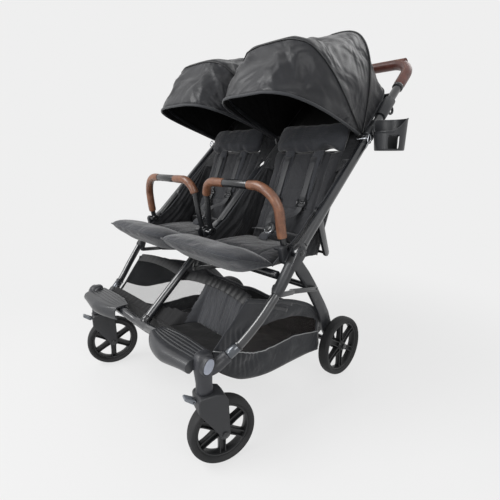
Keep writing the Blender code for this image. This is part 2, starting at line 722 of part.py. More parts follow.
def centre_frame():
    """Lower centre tube, its pivot cheeks and the rail under both seats, welded together."""
    start = CENTRE_FOOT + CENTRE_AXIS * (CROSSBAR_R + 0.0006)
    end = Vector((0.0, PIVOT_Y, PIVOT_Z)) - CENTRE_AXIS * 0.034
    frame = tube([start, end], CENTRE_TUBE_R)
    rail_end = SLEEVE_END.x - HOUSING_R - 2 * GAP
    fuse(frame, tube([(-rail_end, RAIL_POINT.y, RAIL_POINT.z), (rail_end, RAIL_POINT.y, RAIL_POINT.z)],
                     RAIL_R, start_normal=(0, 0, 1)))
    plate_in = CENTRE_TUBE_R + 0.0006
    plate_out = plate_in + 0.0045
    cheek_outline = link_outline((PIVOT_Y, PIVOT_Z), CHEEK_R, (end.y, end.z), 0.0125)
    for side in (-1, 1):
        fuse(frame,
             prism(cheek_outline, side * plate_in, side * plate_out),
             bar_plate(side * plate_in, side * plate_out),
             pin(side * (plate_out - 0.001), side * (SEAT_X - BAR_HALF + 0.009), BAR_Y, BAR_Z, BAR_PIN_R))
    web_end = end - CENTRE_AXIS * WEB_LENGTH
    web = prism(link_outline((end.y, end.z), WEB_R, (web_end.y, web_end.z), WEB_R),
                -plate_out + 0.001, plate_out - 0.001)
    fuse(frame, web, pin(-plate_out + 0.001, plate_out - 0.001, PIVOT_Y, PIVOT_Z, PIVOT_PIN_R))
    ear = prism(link_outline((BRACE_FRONT.y, BRACE_FRONT.z), BRACE_R, tuple(RAIL_POINT)[1:], RAIL_R),
                -0.0035, 0.0035)
    fuse(frame, ear, pin(0.0, 0.0095, BRACE_FRONT.y, BRACE_FRONT.z, BRACE_PIN_R, 10))
    finish(frame, "centre_frame", BLACK_METAL)


def rear_legs():
    """Moulded legs that joggle inwards from the pivot to the axle, with a heel above the wheel."""
    for name, side in SIDES:
        points = [Vector((side * (TUBE_X - inset), y, z)) for y, z, inset, half_wide, thick in LEG_AXIS]
        rings = []
        last = len(points) - 1
        for index, point in enumerate(points):
            along = points[min(index + 1, last)] - points[max(index - 1, 0)]
            along.x = 0.0
            along.normalize()
            across = Vector((0.0, -along.z, along.y))
            half_wide = LEG_AXIS[index][3]
            half_thick = LEG_AXIS[index][4] / 2
            outline = [(-1.0, -0.6), (-0.8, -1.0), (0.8, -1.0), (1.0, -0.6),
                       (1.0, 0.6), (0.8, 1.0), (-0.8, 1.0), (-1.0, 0.6)]
            rings.append([point + across * u * half_wide + Vector((w * half_thick, 0, 0))
                          for u, w in outline])
        leg = loft(rings)
        eye_out = HOUSING_IN - GAP
        eye_in = eye_out - LEG_EYE_THICK
        middle = CROSS_END + 0.0135
        brace_in = HOUSING_IN - 0.0143
        fuse(leg,
             pin(side * eye_in, side * eye_out, PIVOT_Y, PIVOT_Z, PIVOT_EYE_R, 14),
             pin(side * (LEG_BOSS - LEG_BOSS_LENGTH), side * LEG_BOSS, REAR_Y, REAR_R, 0.0165, 14),
             pin(side * CROSS_END, side * (middle - 0.002), *CROSS_TUBE, CROSS_TUBE_R + 0.0035, 12),
             pin(side * middle, side * brace_in, BRACE_REAR.y, BRACE_REAR.z, BRACE_R, 10),
             pin(side * middle, side * (brace_in + 0.0068), BRACE_REAR.y, BRACE_REAR.z, BRACE_PIN_R, 10))
        cut(leg,
            pin(side * (eye_in - 0.01), side * (eye_out + 0.01), PIVOT_Y, PIVOT_Z, PIVOT_PIN_R + BORE_PLAY),
            pin(side * (LEG_BOSS - 0.033), side * (LEG_BOSS + 0.017), REAR_Y, REAR_R, AXLE_R + BORE_PLAY),
            pin(side * (eye_out - 0.03), side * eye_in, PIVOT_Y, PIVOT_Z, PIVOT_HEAD_R + 0.0008))
        finish(leg, f"rear_leg_{name}", BLACK_PLASTIC, "rear_frame")


def rear_wheels():
    for name, side in SIDES:
        tyre, rim = solid_wheel(REAR_R, REAR_TREAD, REAR_HUB_HALF, 0.016)
        place = Matrix.Translation((side * REAR_X, REAR_Y, REAR_R))
        finish(moved(tyre, place), f"rear_tyre_{name}", RUBBER, f"rear_wheel_{name}")
        finish(moved(rim, place), f"rear_rim_{name}", BLACK_PLASTIC, f"rear_wheel_{name}")
    inside = LEG_BOSS - LEG_BOSS_LENGTH - GAP
    collar = REAR_X - REAR_HUB_HALF - GAP
    end = REAR_X + REAR_HUB_HALF + GAP
    cap = AXLE_TUBE_R + 0.001
    steps = [(inside, AXLE_TUBE_R), (inside, AXLE_R), (LEG_BOSS + GAP, AXLE_R), (LEG_BOSS + GAP, AXLE_TUBE_R),
             (collar, AXLE_TUBE_R), (collar, AXLE_R), (end, AXLE_R), (end, cap), (end + 0.004, cap - 0.0005)]
    steps = [(-x, radius) for x, radius in reversed(steps)] + steps
    sides = 10
    rings = []
    for x, radius in steps:
        rings.append([Vector((x, REAR_Y + radius * cos(2 * pi * turn / sides),
                              REAR_R + radius * sin(2 * pi * turn / sides))) for turn in range(sides)])
    finish(loft(rings), "rear_axle", BLACK_METAL, "rear_frame")

    end = CROSS_END - GAP
    finish(tube([(-end, *CROSS_TUBE), (end, *CROSS_TUBE)], CROSS_TUBE_R, start_normal=(0, 0, 1)),
           "rear_cross_tube", BLACK_METAL, "rear_frame")


def brake_pedal():
    """Foot lever clipped round the rear axle."""
    outline = link_outline((REAR_Y, REAR_R), AXLE_TUBE_R + 0.005, (REAR_Y + 0.060, REAR_R + 0.016), 0.0045)
    pedal = prism(outline, PEDAL_FROM, PEDAL_TO)
    cut(pedal, pin(PEDAL_FROM - 0.01, PEDAL_TO + 0.01, REAR_Y, REAR_R, AXLE_TUBE_R + BORE_PLAY, 16))
    finish(pedal, "brake_pedal", BLACK_PLASTIC, "brake")


def braces():
    """Folding braces in two halves, side by side at the open middle pivot."""
    inner = HOUSING_IN
    planes = {"left": (inner - 0.0075, inner - 0.0024, inner - 0.0136, inner - 0.0082),
              "right": (0.0075 - inner, 0.0024 - inner, 0.0136 - inner, 0.0082 - inner),
              "centre": (0.0042, 0.0085, -0.0012, 0.0037)}
    for name, (front_from, front_to, rear_from, rear_to) in planes.items():
        front = prism(link_outline((BRACE_FRONT.y, BRACE_FRONT.z), BRACE_R,
                                   (BRACE_MIDDLE.y, BRACE_MIDDLE.z), BRACE_R), front_from, front_to)
        cut(front, pin(front_from - 0.05, front_to + 0.05, BRACE_FRONT.y, BRACE_FRONT.z,
                       BRACE_PIN_R + BORE_PLAY, 10))
        finish(front, f"brace_front_{name}", BLACK_METAL, f"front_brace_pin_{name}")
        bore = BRACE_PIN_R + BORE_PLAY
        eye = BRACE_R
        if name == "centre":
            bore = CROSS_TUBE_R + 2 * BORE_PLAY
            eye = CROSS_TUBE_R + 0.0045
        rear = prism(link_outline((BRACE_REAR.y, BRACE_REAR.z), eye,
                                  (BRACE_MIDDLE.y, BRACE_MIDDLE.z), BRACE_R),
                     rear_from, rear_to)
        cut(rear, pin(rear_from - 0.05, rear_to + 0.05, BRACE_REAR.y, BRACE_REAR.z, bore, 12))
        finish(rear, f"brace_rear_{name}", BLACK_METAL, f"rear_brace_pin_{name}")


def handle_bend():
    """Points round the handle's left bend, from the side tube to the bar across."""
    steps = 5
    straight = HANDLE_REACH - HANDLE_BEND_R
    points = []
    for step in range(steps + 1):
        angle = pi / 2 * step / steps
        points.append(on_frame(straight + HANDLE_BEND_R * sin(angle),
                               TUBE_X - HANDLE_BEND_R * (1 - cos(angle))))
    return points


def handle_frame():
    collar = GRIP_START - COLLAR_LENGTH
    half = [(0.026, TUBE_R), (collar, TUBE_R), (collar + 0.001, COLLAR_R),
            (GRIP_START - 0.001, COLLAR_R), (GRIP_START, TUBE_R)]
    points = [on_frame(distance, TUBE_X) for distance, radius in half]
    points += handle_bend()
    radii = [radius for distance, radius in half]
    radii += [TUBE_R] * (len(points) - len(radii))
    mirrored = [Vector((-point.x, point.y, point.z)) for point in reversed(points)]
    frame = tube(points + mirrored, radii + list(reversed(radii)))
    for side in (-1, 1):
        tongue = prism(link_outline((PIVOT_Y, PIVOT_Z), TONGUE_R, tuple(on_frame(0.040, 0.0))[1:], 0.0095),
                       side * (TUBE_X - 0.0090), side * (TUBE_X + 0.0090))
        cut(tongue, pin(side * (TUBE_X - 0.02), side * (TUBE_X + 0.02), PIVOT_Y, PIVOT_Z,
                        PIVOT_PIN_R + BORE_PLAY))
        plate_top = on_frame(BACK_PLATE_REACH, 0.0)
        plate = prism(link_outline((BACK_PIVOT.y, BACK_PIVOT.z), 0.009, (plate_top.y, plate_top.z), 0.012),
                      side * (BACK_PLATE_X - 0.0045), side * (BACK_PLATE_X + 0.004))
        fuse(frame, tongue, plate,
             pin(side * BACK_PLATE_X, side * (SEAT_X + BACK_HALF - 0.010),
                 BACK_PIVOT.y, BACK_PIVOT.z, BACK_PIN_R, 10),
             pin(side * (TUBE_X - 0.004), side * (SEAT_X + HOOD_HALF - HOOD_SHELL - 0.005), HOOD_Y, HOOD_Z,
                 HOOD_PIN_R, 10))
    finish(frame, "handle_frame", BLACK_METAL, "upper_frame")


def handle_grip():
    points = [on_frame(GRIP_START + 2 * GAP, TUBE_X)] + handle_bend()
    points += [Vector((-point.x, point.y, point.z)) for point in reversed(points)]
    finish(sleeve(points, GRIP_R, TUBE_R + SLEEVE_PLAY), "handle_grip", DARK_LEATHER, "upper_frame")


def fold_triggers():
    """Sleeves that slide up the handle tubes to release the fold, each with a finger loop."""
    for name, side in SIDES:
        trigger = sleeve([on_frame(TRIGGER_START, side * TUBE_X), on_frame(TRIGGER_END, side * TUBE_X)],
                         TRIGGER_R, TUBE_R + SLEEVE_PLAY, 12)
        centre = on_frame(TRIGGER_END - 0.014, side * TUBE_X, LOOP_BELOW)
        ring = []
        for step in range(10):
            angle = 2 * pi * step / 10
            ring.append(centre + Vector((0, cos(angle), sin(angle))) * LOOP_R)
        loop_mesh = bmesh.new()
        loops = []
        for point in ring:
            out = (point - centre).normalized()
            loops.append([point + out * cos(turn) * 0.003 + Vector((1, 0, 0)) * sin(turn) * 0.0045
                          for turn in [2 * pi * part / 5 for part in range(5)]])
        skin(loop_mesh, loops + loops[:1])
        bmesh.ops.remove_doubles(loop_mesh, verts=loop_mesh.verts, dist=1e-6)
        fuse(trigger, link("loop", loop_mesh))
        finish(trigger, f"fold_trigger_{name}", BLACK_PLASTIC, f"trigger_{name}")


def back_frame():
    """Centre tube behind the seats and the cross tube that ties it to the handle frame."""
    end_x = TUBE_X - TUBE_R - GAP
    cross_points = []
    for x, below in ((end_x, 0.0), (end_x - 0.012, 0.0), (end_x - 0.050, 0.028), (0.10, 0.030), (0.0, 0.030)):
        cross_points.append(on_frame(BACK_CROSS_DISTANCE, x, below))
    mirrored = [Vector((-point.x, point.y, point.z)) for point in reversed(cross_points[:-1])]
    frame = tube(cross_points + mirrored, CROSS_TUBE_R, start_normal=(0, 1, 0))
    upright = curve_through([on_frame(0.026, 0.0), on_frame(0.10, 0.0), on_frame(0.24, 0.0, 0.002),
                             on_frame(0.36, 0.0, 0.030), on_frame(0.47, 0.0, 0.044),
                             on_frame(BACK_CROSS_DISTANCE, 0.0, 0.030)], 2)
    fuse(frame, tube(upright, CENTRE_TUBE_R))
    tongue = prism(link_outline((PIVOT_Y, PIVOT_Z), TONGUE_R, tuple(on_frame(0.040, 0.0))[1:], 0.0095),
                   -CENTRE_TUBE_R, CENTRE_TUBE_R)
    cut(tongue, pin(-0.03, 0.03, PIVOT_Y, PIVOT_Z, PIVOT_PIN_R + BORE_PLAY))
    plate_top = on_frame(BACK_PLATE_REACH, 0.0)
    plate = prism(link_outline((BACK_PIVOT.y, BACK_PIVOT.z), 0.009, (plate_top.y, plate_top.z), 0.012),
                  -0.0045, 0.0045)
    pin_reach = SEAT_X - BACK_HALF + 0.010
    ear_foot = on_frame(0.40, 0.0, 0.040)
    ear = prism(link_outline((HOOD_Y, HOOD_Z), 0.011, (ear_foot.y, ear_foot.z), 0.012),
                -HOOD_EAR_X, HOOD_EAR_X)
    hood_reach = SEAT_X - HOOD_HALF + HOOD_SHELL + 0.005
    fuse(frame, tongue, plate,
         pin(-pin_reach, pin_reach, BACK_PIVOT.y, BACK_PIVOT.z, BACK_PIN_R, 10),
         ear, pin(-hood_reach, hood_reach, HOOD_Y, HOOD_Z, HOOD_PIN_R, 10))
    finish(frame, "back_frame", BLACK_METAL, "upper_frame")


def cup_holder():
    """Open cup with windows in its wall, clamped to the left handle tube."""
    steps = 20
    heights = [0.0, 0.070, CUP_HEIGHT]

    def cup_ring(height, inset):
        radius = CUP_BOTTOM_R + (CUP_TOP_R - CUP_BOTTOM_R) * height / CUP_HEIGHT - inset
        ring = []
        for step in range(steps):
            angle = 2 * pi * step / steps
            dip = CUP_RIM_DIP * max(0.0, cos(angle + 0.9)) if height == CUP_HEIGHT else 0.0
            ring.append(CUP_CENTRE + Vector((radius * cos(angle), radius * sin(angle), height - dip)))
        return ring

    bm = bmesh.new()
    outer = skin(bm, [cup_ring(height, 0.0) for height in heights])
    inner = skin(bm, [cup_ring(max(height, CUP_FLOOR), CUP_WALL) for height in heights], flip=True)
    bm.faces.new(list(reversed(outer[0])))
    bm.faces.new(inner[0])
    for step in range(steps):
        after = (step + 1) % steps
        bm.faces.new([outer[-1][step], outer[-1][after], inner[-1][after], inner[-1][step]])
    cup = link("cup", bm)
    for heading in (-52, 38, 128):
        window = box((CUP_BOTTOM_R - 0.012, CUP_TOP_R + 0.012), (-0.013, 0.013), (0.010, 0.058))
        cut(cup, moved(window, Matrix.Translation(CUP_CENTRE) @ Matrix.Rotation(radians(heading), 4, "Z")))
    clamp = sleeve([on_frame(CUP_CLAMP, TUBE_X), on_frame(CUP_CLAMP + CUP_CLAMP_LENGTH, TUBE_X)],
                   TUBE_R + SLEEVE_PLAY + 0.004, TUBE_R + SLEEVE_PLAY, 12)
    arm = box((TUBE_X + TUBE_R + 0.0015, CUP_CENTRE.x - CUP_TOP_R + 0.0055),
              (CUP_MIDDLE.y - 0.012, CUP_MIDDLE.y + 0.010), (CUP_MIDDLE.z - 0.011, CUP_MIDDLE.z + 0.011))
    fuse(cup, clamp, arm)
    finish(cup, "cup_holder", BLACK_PLASTIC, "upper_frame")


def bow_curve(side, bow, inset, steps, keep_clear=0.0):
    turn, reach, square = bow
    points = []
    for step in range(steps + 1):
        angle = pi * step / steps
        across = abs(cos(angle)) ** (2 / square) * (1 if cos(angle) >= 0 else -1)
        out = max(sin(angle), 0.0) ** (2 / square) * (reach - inset)
        out = max(out, keep_clear)
        points.append(Vector((side * (SEAT_X + (HOOD_HALF - inset) * across),
                              HOOD_Y + out * cos(turn), HOOD_Z + out * sin(turn))))
    return points


def canopies():
    """Fabric stretched from bow to bow, drawn in a little between them."""
    steps = 18
    for name, side in SIDES:
        bm = bmesh.new()
        shells = []
        for inset in (0.0, HOOD_SHELL):
            curves = [bow_curve(side, bow, inset, steps, HOOD_CLEAR_R) for bow in HOOD_BOWS]
            hinge = Vector((side * SEAT_X, HOOD_Y, HOOD_Z))
            rows = []
            for index, spans in enumerate(HOOD_SPAN_COUNTS):
                for span in range(spans):
                    share = span / spans
                    row = []
                    for step, (here, there) in enumerate(zip(curves[index], curves[index + 1])):
                        point = here.lerp(there, share)
                        slack = HOOD_DRAWN_IN[index] * sin(pi * share) * sin(pi * step / steps)
                        row.append(point - (point - hinge).normalized() * slack)
                    rows.append(row)
            rows.append(curves[-1])
            shells.append([[bm.verts.new(point) for point in row] for row in rows])
        outer, inner = shells
        count = len(outer)
        for shell in shells:
            for row in range(count - 1):
                for step in range(steps):
                    bm.faces.new([shell[row][step], shell[row][step + 1],
                                  shell[row + 1][step + 1], shell[row + 1][step]])
        for row in (0, count - 1):
            for step in range(steps):
                bm.faces.new([outer[row][step], outer[row][step + 1], inner[row][step + 1], inner[row][step]])
        for step in (0, steps):
            for row in range(count - 1):
                bm.faces.new([outer[row][step], outer[row + 1][step], inner[row + 1][step], inner[row][step]])
        finish(link("canopy", bm), f"canopy_{name}", HOOD_FABRIC, "upper_frame")


def front_bows():
    """Rigid strips inside the front hems, with a hub at each canopy hinge."""
    for name, side in SIDES:
        turn, reach, square = HOOD_BOWS[0]
        bow = (turn - radians(2.4), reach - 0.0035, square)
        points = bow_curve(side, bow, HOOD_SHELL + BOW_INSET, 16)
        normal = Vector((0.0, -sin(bow[0]), cos(bow[0])))
        rings = []
        last = len(points) - 1
        for index, point in enumerate(points):
            along = (points[min(index + 1, last)] - points[max(index - 1, 0)]).normalized()
            across = along.cross(normal)
            rings.append([point + normal * u * BOW_WIDTH / 2 + across * w * BOW_THICK / 2
                          for u, w in ((-1, -1), (1, -1), (1, 1), (-1, 1))])
        strip = loft(rings)
        hub_x = HOOD_HALF - HOOD_SHELL - BOW_INSET
        hubs = [side * (SEAT_X - hub_x), side * (SEAT_X + hub_x)]
        for x in hubs:
            fuse(strip, pin(x - 0.0014, x + 0.0014, HOOD_Y, HOOD_Z, HOOD_HUB_R, 12))
        for x in hubs:
            cut(strip, pin(x - 0.006, x + 0.006, HOOD_Y, HOOD_Z, HOOD_PIN_R + BORE_PLAY, 10))
        finish(strip, f"front_bow_{name}", BLACK_PLASTIC, f"canopy_hinge_{name}")


def swell(u, v, power=4):
    """Height of a cushion's crown, 1 in the middle and 0 on its border."""
    return (1 - abs(u) ** power) * (1 - abs(v) ** power)


def seat_pans():
    for name, side in SIDES:
        def place(u, v, height):
            y = (PAN_FRONT + PAN_REAR) / 2 + v * (PAN_REAR - PAN_FRONT) / 2
            return Vector((side * (SEAT_X + u * SEAT_HALF), y, height))

        def top(u, v):
            channel = PAN_CHANNEL * max(0.0, 1 - abs(abs(u) - 0.6) / 0.15)
            return PAN_TOP - 0.006 + (PAN_CROWN + 0.006) * swell(u, v) - 0.004 * (1 + v) / 2 - channel

        finish(pad(place, top, PAN_BOTTOM, 10, 8), f"seat_pan_{name}", FABRIC)


def backrests():
    for name, side in SIDES:
        def place(u, v, height):
            return (Vector((side * (SEAT_X + u * BACK_HALF), BACK_Y, BACK_Z))
                    + BACK_ALONG * BACK_LENGTH * (v + 1) / 2 + BACK_FACE * height)

        def front(u, v):
            height = -0.006 + 0.008 * swell(u, v)
            if v > PILLOW_FROM:
                height += PILLOW_THICK * sin(pi * min(1.0, (v - PILLOW_FROM) / (1 - PILLOW_FROM)) * 0.85) * (
                    1 - abs(u) ** 6)
            channel = BACK_CHANNEL * max(0.0, 1 - abs(abs(u) - 0.62) / 0.12)
            return height - channel * (1 if v < PILLOW_FROM else 0)

        back = pad(place, front, -BACK_THICK, 14, 12)
        reach = SEAT_X + BACK_HALF - 0.0105
        inner_reach = SEAT_X - BACK_HALF + 0.0105
        cut(back,
            pin(side * reach, side * (reach + 0.03), BACK_PIVOT.y, BACK_PIVOT.z, BACK_PIN_R + BORE_PLAY, 10),
            pin(side * (inner_reach - 0.03), side * inner_reach, BACK_PIVOT.y, BACK_PIVOT.z,
                BACK_PIN_R + BORE_PLAY, 10))
        finish(back, f"backrest_{name}", FABRIC, f"recline_{name}")


def leg_rests():
    """Lens-shaped pads. The rear edge is rounded about the hinge, so that it turns clear of the seat."""
    forward = Vector((0.0, -cos(REST_RISE), sin(REST_RISE)))
    upward = Vector((0.0, sin(REST_RISE), cos(REST_RISE)))
    for name, side in SIDES:
        def place(u, v, height):
            share = (v + 1) / 2
            along = REST_LENGTH * share - REST_BACK - 0.012 * share * u * u
            start = Vector((side * (SEAT_X + u * SEAT_HALF), REST_HINGE.y, REST_HINGE.z))
            return start + forward * along + upward * height

        def top(u, v):
            return 0.0014 + 0.010 * max(0.0, sin(pi * (v + 1) / 2)) ** 0.6 * (1 - 0.4 * abs(u) ** 3)

        def bottom(u, v):
            return -0.0014 - 0.024 * max(0.0, sin(pi * (v + 1) / 2)) ** 1.2 * (1 - 0.5 * abs(u) ** 3)

        finish(pad(place, top, bottom, 12, 8), f"leg_rest_{name}", FABRIC, f"leg_rest_hinge_{name}")


def slab(start, end, width, thick, facing, side):
    """Flat strap between two points, facing the given way."""
    along = (end - start).normalized()
    up = (facing - along * facing.dot(along)).normalized()
    across = along.cross(up)
    rings = []
    for point in (start, end):
        rings.append([point + across * u * width / 2 + up * w * thick
                      for u, w in ((-1, 0), (1, 0), (1, 1), (-1, 1))])
    return loft([[Vector((side * corner.x, corner.y, corner.z)) for corner in ring] for ring in rings])


def harnesses():
    """Shoulder pads, straps and buckle body of each seat as one piece of webbing."""
    facing = Vector((0.0, -sin(BUCKLE_TILT), cos(BUCKLE_TILT)))
    for name, side in SIDES:
        def on_back(x, along, height):
            return Vector((SEAT_X + x, BACK_Y, BACK_Z)) + BACK_ALONG * along + BACK_FACE * height

        buckle_point = Vector((SEAT_X, BUCKLE.y, BUCKLE.z))
        buckle = tube([Vector((side * p.x, p.y, p.z)) for p in
                       (buckle_point - facing * 0.006, buckle_point + facing * 0.006)], BUCKLE_R, 14)
        crotch = slab(Vector((SEAT_X, BUCKLE.y - 0.004, PAN_TOP + 0.0028)),
                      buckle_point, 0.026, 0.004, Vector((0, -1, 0.2)), side)
        fuse(buckle, crotch)
        for way in (-1, 1):
            low = on_back(way * SHOULDER_LOW[0], SHOULDER_LOW[1], HARNESS_LIFT)
            high = on_back(way * SHOULDER_HIGH[0], SHOULDER_HIGH[1], HARNESS_LIFT)
            strap_start = buckle_point + Vector((way * 0.010, 0.006, 0.004))
            strap_end = on_back(way * (SHOULDER_LOW[0] - 0.001), SHOULDER_LOW[1] + 0.008,
                                HARNESS_LIFT + STRAP_THICK)
            fuse(buckle, slab(strap_start, strap_end, STRAP_WIDTH, STRAP_THICK, facing, side))
            fuse(buckle, slab(low, high, SHOULDER_WIDTH, SHOULDER_THICK, BACK_FACE, side))
        cut(buckle, tube([Vector((side * p.x, p.y, p.z)) for p in
                          (buckle_point + facing * 0.001, buckle_point + facing * 0.012)],
                         BUTTON_R + BORE_PLAY, 14))
        finish(buckle, f"harness_{name}", BLACK_PLASTIC)
        button = tube([Vector((side * p.x, p.y, p.z)) for p in
                       (buckle_point + facing * 0.0040, buckle_point + facing * 0.0080)], BUTTON_R, 14)
        finish(button, f"buckle_button_{name}", GREY_PLASTIC, f"button_{name}")


def bar_path(side):
    """Bumper bar's centre line, from its outer foot to its inner foot."""
    corner = BAR_CORNER
    rise = Vector((0.0, BAR_TOP_Y - BAR_Y, BAR_TOP_Z - BAR_Z))
    height = rise.length
    up = rise.normalized()
    path = [(BAR_HALF, 0.0), (BAR_HALF, 0.30 * height), (BAR_HALF, height - corner)]
    for step in range(1, 5):
        angle = pi / 2 * step / 4
        path.append((BAR_HALF - corner * (1 - cos(angle)), height - corner + corner * sin(angle)))
    path.append((BAR_MIDDLE_HALF, height))
    whole = path + [(-x, along) for x, along in reversed(path)]
    return [Vector((side * (SEAT_X + x), BAR_Y, BAR_Z)) + up * along for x, along in whole]


def bumper_bars():
    for name, side in SIDES:
        points = bar_path(side)
        half = len(points) // 2
        middle_from, middle_to = points[half - 1], points[half]
        rise = points[1] - points[0]
        bar = tube(points, BAR_R, 8)
        fuse(bar, tube([middle_from, middle_to], BAR_MIDDLE_R, 10))
        for x in (SEAT_X + BAR_HALF, SEAT_X - BAR_HALF):
            fuse(bar, pin(side * (x - BAR_FOOT_HALF), side * (x + BAR_FOOT_HALF),
                          BAR_Y, BAR_Z, BAR_FOOT_R, 14))
            cut(bar, pin(side * (x - 0.015), side * (x + 0.015), BAR_Y, BAR_Z, BAR_PIN_R + BORE_PLAY, 12))
        finish(bar, f"bumper_bar_{name}", BLACK_PLASTIC, f"bumper_hinge_{name}")
        outer = [points[1].lerp(points[2], -0.02)] + points[2:half - 1]
        outer.append(middle_from + (points[half - 2] - middle_from).normalized() * 2 * GAP)
        inner = [middle_to + (points[half + 1] - middle_to).normalized() * 2 * GAP]
        inner += points[half + 1:-2] + [points[-3].lerp(points[-2], 0.12)]
        finish(sleeve(outer, BAR_GRIP_R, BAR_R + SLEEVE_PLAY, 8),
               f"bumper_grip_outer_{name}", BROWN_LEATHER, f"bumper_hinge_{name}")
        finish(sleeve(inner, BAR_GRIP_R, BAR_R + SLEEVE_PLAY, 8, start_normal=rise),
               f"bumper_grip_inner_{name}", BROWN_LEATHER, f"bumper_hinge_{name}")


def basket_half(y):
    """Half the basket's width, which tapers beside the rear legs."""
    return BASKET_HALF - BASKET_TAPER * max(0.0, y - BASKET_RIM[1][0]) / (BASKET_REAR[0] - BASKET_RIM[1][0])


def basket():
    """Open fabric basket. Its front hangs in soft folds behind the centre tube."""
    below = Vector((0.0, CENTRE_AXIS.z, -CENTRE_AXIS.y)) * (CENTRE_TUBE_R + 0.0006)
    front_top = CENTRE_FOOT + CENTRE_AXIS * BASKET_TOP_DISTANCE + below
    front_low = CENTRE_FOOT + CENTRE_AXIS * BASKET_LOW_DISTANCE + below
    front_middle = front_top.lerp(front_low, 0.5)
    profile = [(front_top.y, front_top.z, 1.0), (front_middle.y, front_middle.z, 1.0),
               (front_low.y, front_low.z, 0.4)]
    profile += [(y, z, 0.0) for y, z in BASKET_FLOOR] + [(*BASKET_REAR, 0.0)]
    columns = 4 * BASKET_FOLDS
    bm = bmesh.new()
    grid = []
    for y, z, fold in profile:
        row = []
        for column in range(columns + 1):
            x = (2 * column / columns - 1) * basket_half(y)
            share = 0.5 - 0.5 * cos(2 * pi * BASKET_FOLDS * column / columns)
            billow = below.normalized() * BASKET_FOLD_DEPTH * fold * share
            row.append(bm.verts.new(Vector((x, y, z)) + billow))
        grid.append(row)
    for row in range(len(grid) - 1):
        for column in range(columns):
            bm.faces.new([grid[row][column], grid[row][column + 1],
                          grid[row + 1][column + 1], grid[row + 1][column]])
    for column, side in ((0, -1), (columns, 1)):
        rim = [bm.verts.new((side * basket_half(y), y, z)) for y, z in BASKET_RIM]
        bm.faces.new([grid[row][column] for row in range(len(grid))] + list(reversed(rim)))
    bmesh.ops.triangulate(bm, faces=[face for face in bm.faces if len(face.verts) > 4])
    bmesh.ops.recalc_face_normals(bm, faces=bm.faces)
    item = link("basket", bm)
    modifier = item.modifiers.new("wall", "SOLIDIFY")
    modifier.thickness = BASKET_WALL
    modifier.offset = -1.0
    modifier.use_even_offset = True
    finish(item, "basket", FABRIC)


def carriers():
    carry("stroller", (0.0, 0.0, 0.0))
    carry("upper_frame", (0.0, PIVOT_Y, PIVOT_Z), "stroller")
    carry("rear_frame", (0.0, PIVOT_Y, PIVOT_Z), "stroller")
    carry("brake", (0.0, REAR_Y, REAR_R), "rear_frame")
    for name, x in (("left", BRACE_X), ("right", -BRACE_X), ("centre", 0.0)):
        carry(f"front_brace_pin_{name}", (x, BRACE_FRONT.y, BRACE_FRONT.z), "stroller")
        carry(f"rear_brace_pin_{name}", (x, BRACE_REAR.y, BRACE_REAR.z), "rear_frame")
    for name, side in SIDES:
        turn = Matrix.Rotation(-CASTER_TURN, 4, "Z")
        pivot = Vector((side * CASTER_X, CASTER_Y, 0.0))
        carry(f"caster_{name}", pivot, "stroller", -CASTER_TURN)
        carry(f"front_wheel_{name}", pivot + turn @ Vector((0.0, CASTER_TRAIL, FRONT_R)),
              f"caster_{name}", -CASTER_TURN)
        carry(f"lock_{name}", pivot + turn @ Vector((0.0, *LOCK_PIN)), f"caster_{name}", -CASTER_TURN)
        carry(f"rear_wheel_{name}", (side * REAR_X, REAR_Y, REAR_R), "rear_frame")
        carry(f"trigger_{name}", on_frame(TRIGGER_START, side * TUBE_X), "upper_frame")
        carry(f"canopy_hinge_{name}", (side * SEAT_X, HOOD_Y, HOOD_Z), "upper_frame")
        carry(f"recline_{name}", (side * SEAT_X, BACK_PIVOT.y, BACK_PIVOT.z), "upper_frame")
        carry(f"leg_rest_hinge_{name}", (side * SEAT_X, REST_HINGE.y, REST_HINGE.z), "stroller")
        carry(f"button_{name}", (side * SEAT_X, BUCKLE.y, BUCKLE.z), "stroller")
        carry(f"bumper_hinge_{name}", (side * SEAT_X, BAR_Y, BAR_Z), "stroller")


def centre_on_floor():
    """Move the whole stroller so that its bounding box stands centred on the origin."""
    bpy.context.view_layer.update()
    graph = bpy.context.evaluated_depsgraph_get()
    corners = []
    for item in bpy.context.scene.objects:
        if item.type == "MESH":
            evaluated = item.evaluated_get(graph)
            corners += [item.matrix_world @ vertex.co for vertex in evaluated.data.vertices]
    for axis in (0, 1):
        values = [corner[axis] for corner in corners]
        bpy.data.objects["stroller"].location[axis] -= (min(values) + max(values)) / 2


def build():
    clear_scene()
    carriers()
    front_crossbar()
    footrests()
    caster_heads()
    front_casters()
    lower_side_tubes()
    pivot_housings()
    centre_frame()
    rear_legs()
    rear_wheels()
    brake_pedal()
    braces()
    handle_frame()
    handle_grip()
    fold_triggers()
    back_frame()
    cup_holder()
    canopies()
    front_bows()
    seat_pans()
    backrests()
    leg_rests()
    harnesses()
    bumper_bars()
    basket()
    centre_on_floor()


build()
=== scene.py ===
import json
from math import cos, pi, radians, sin

import bmesh
import bpy
from mathutils import Matrix, Vector, noise

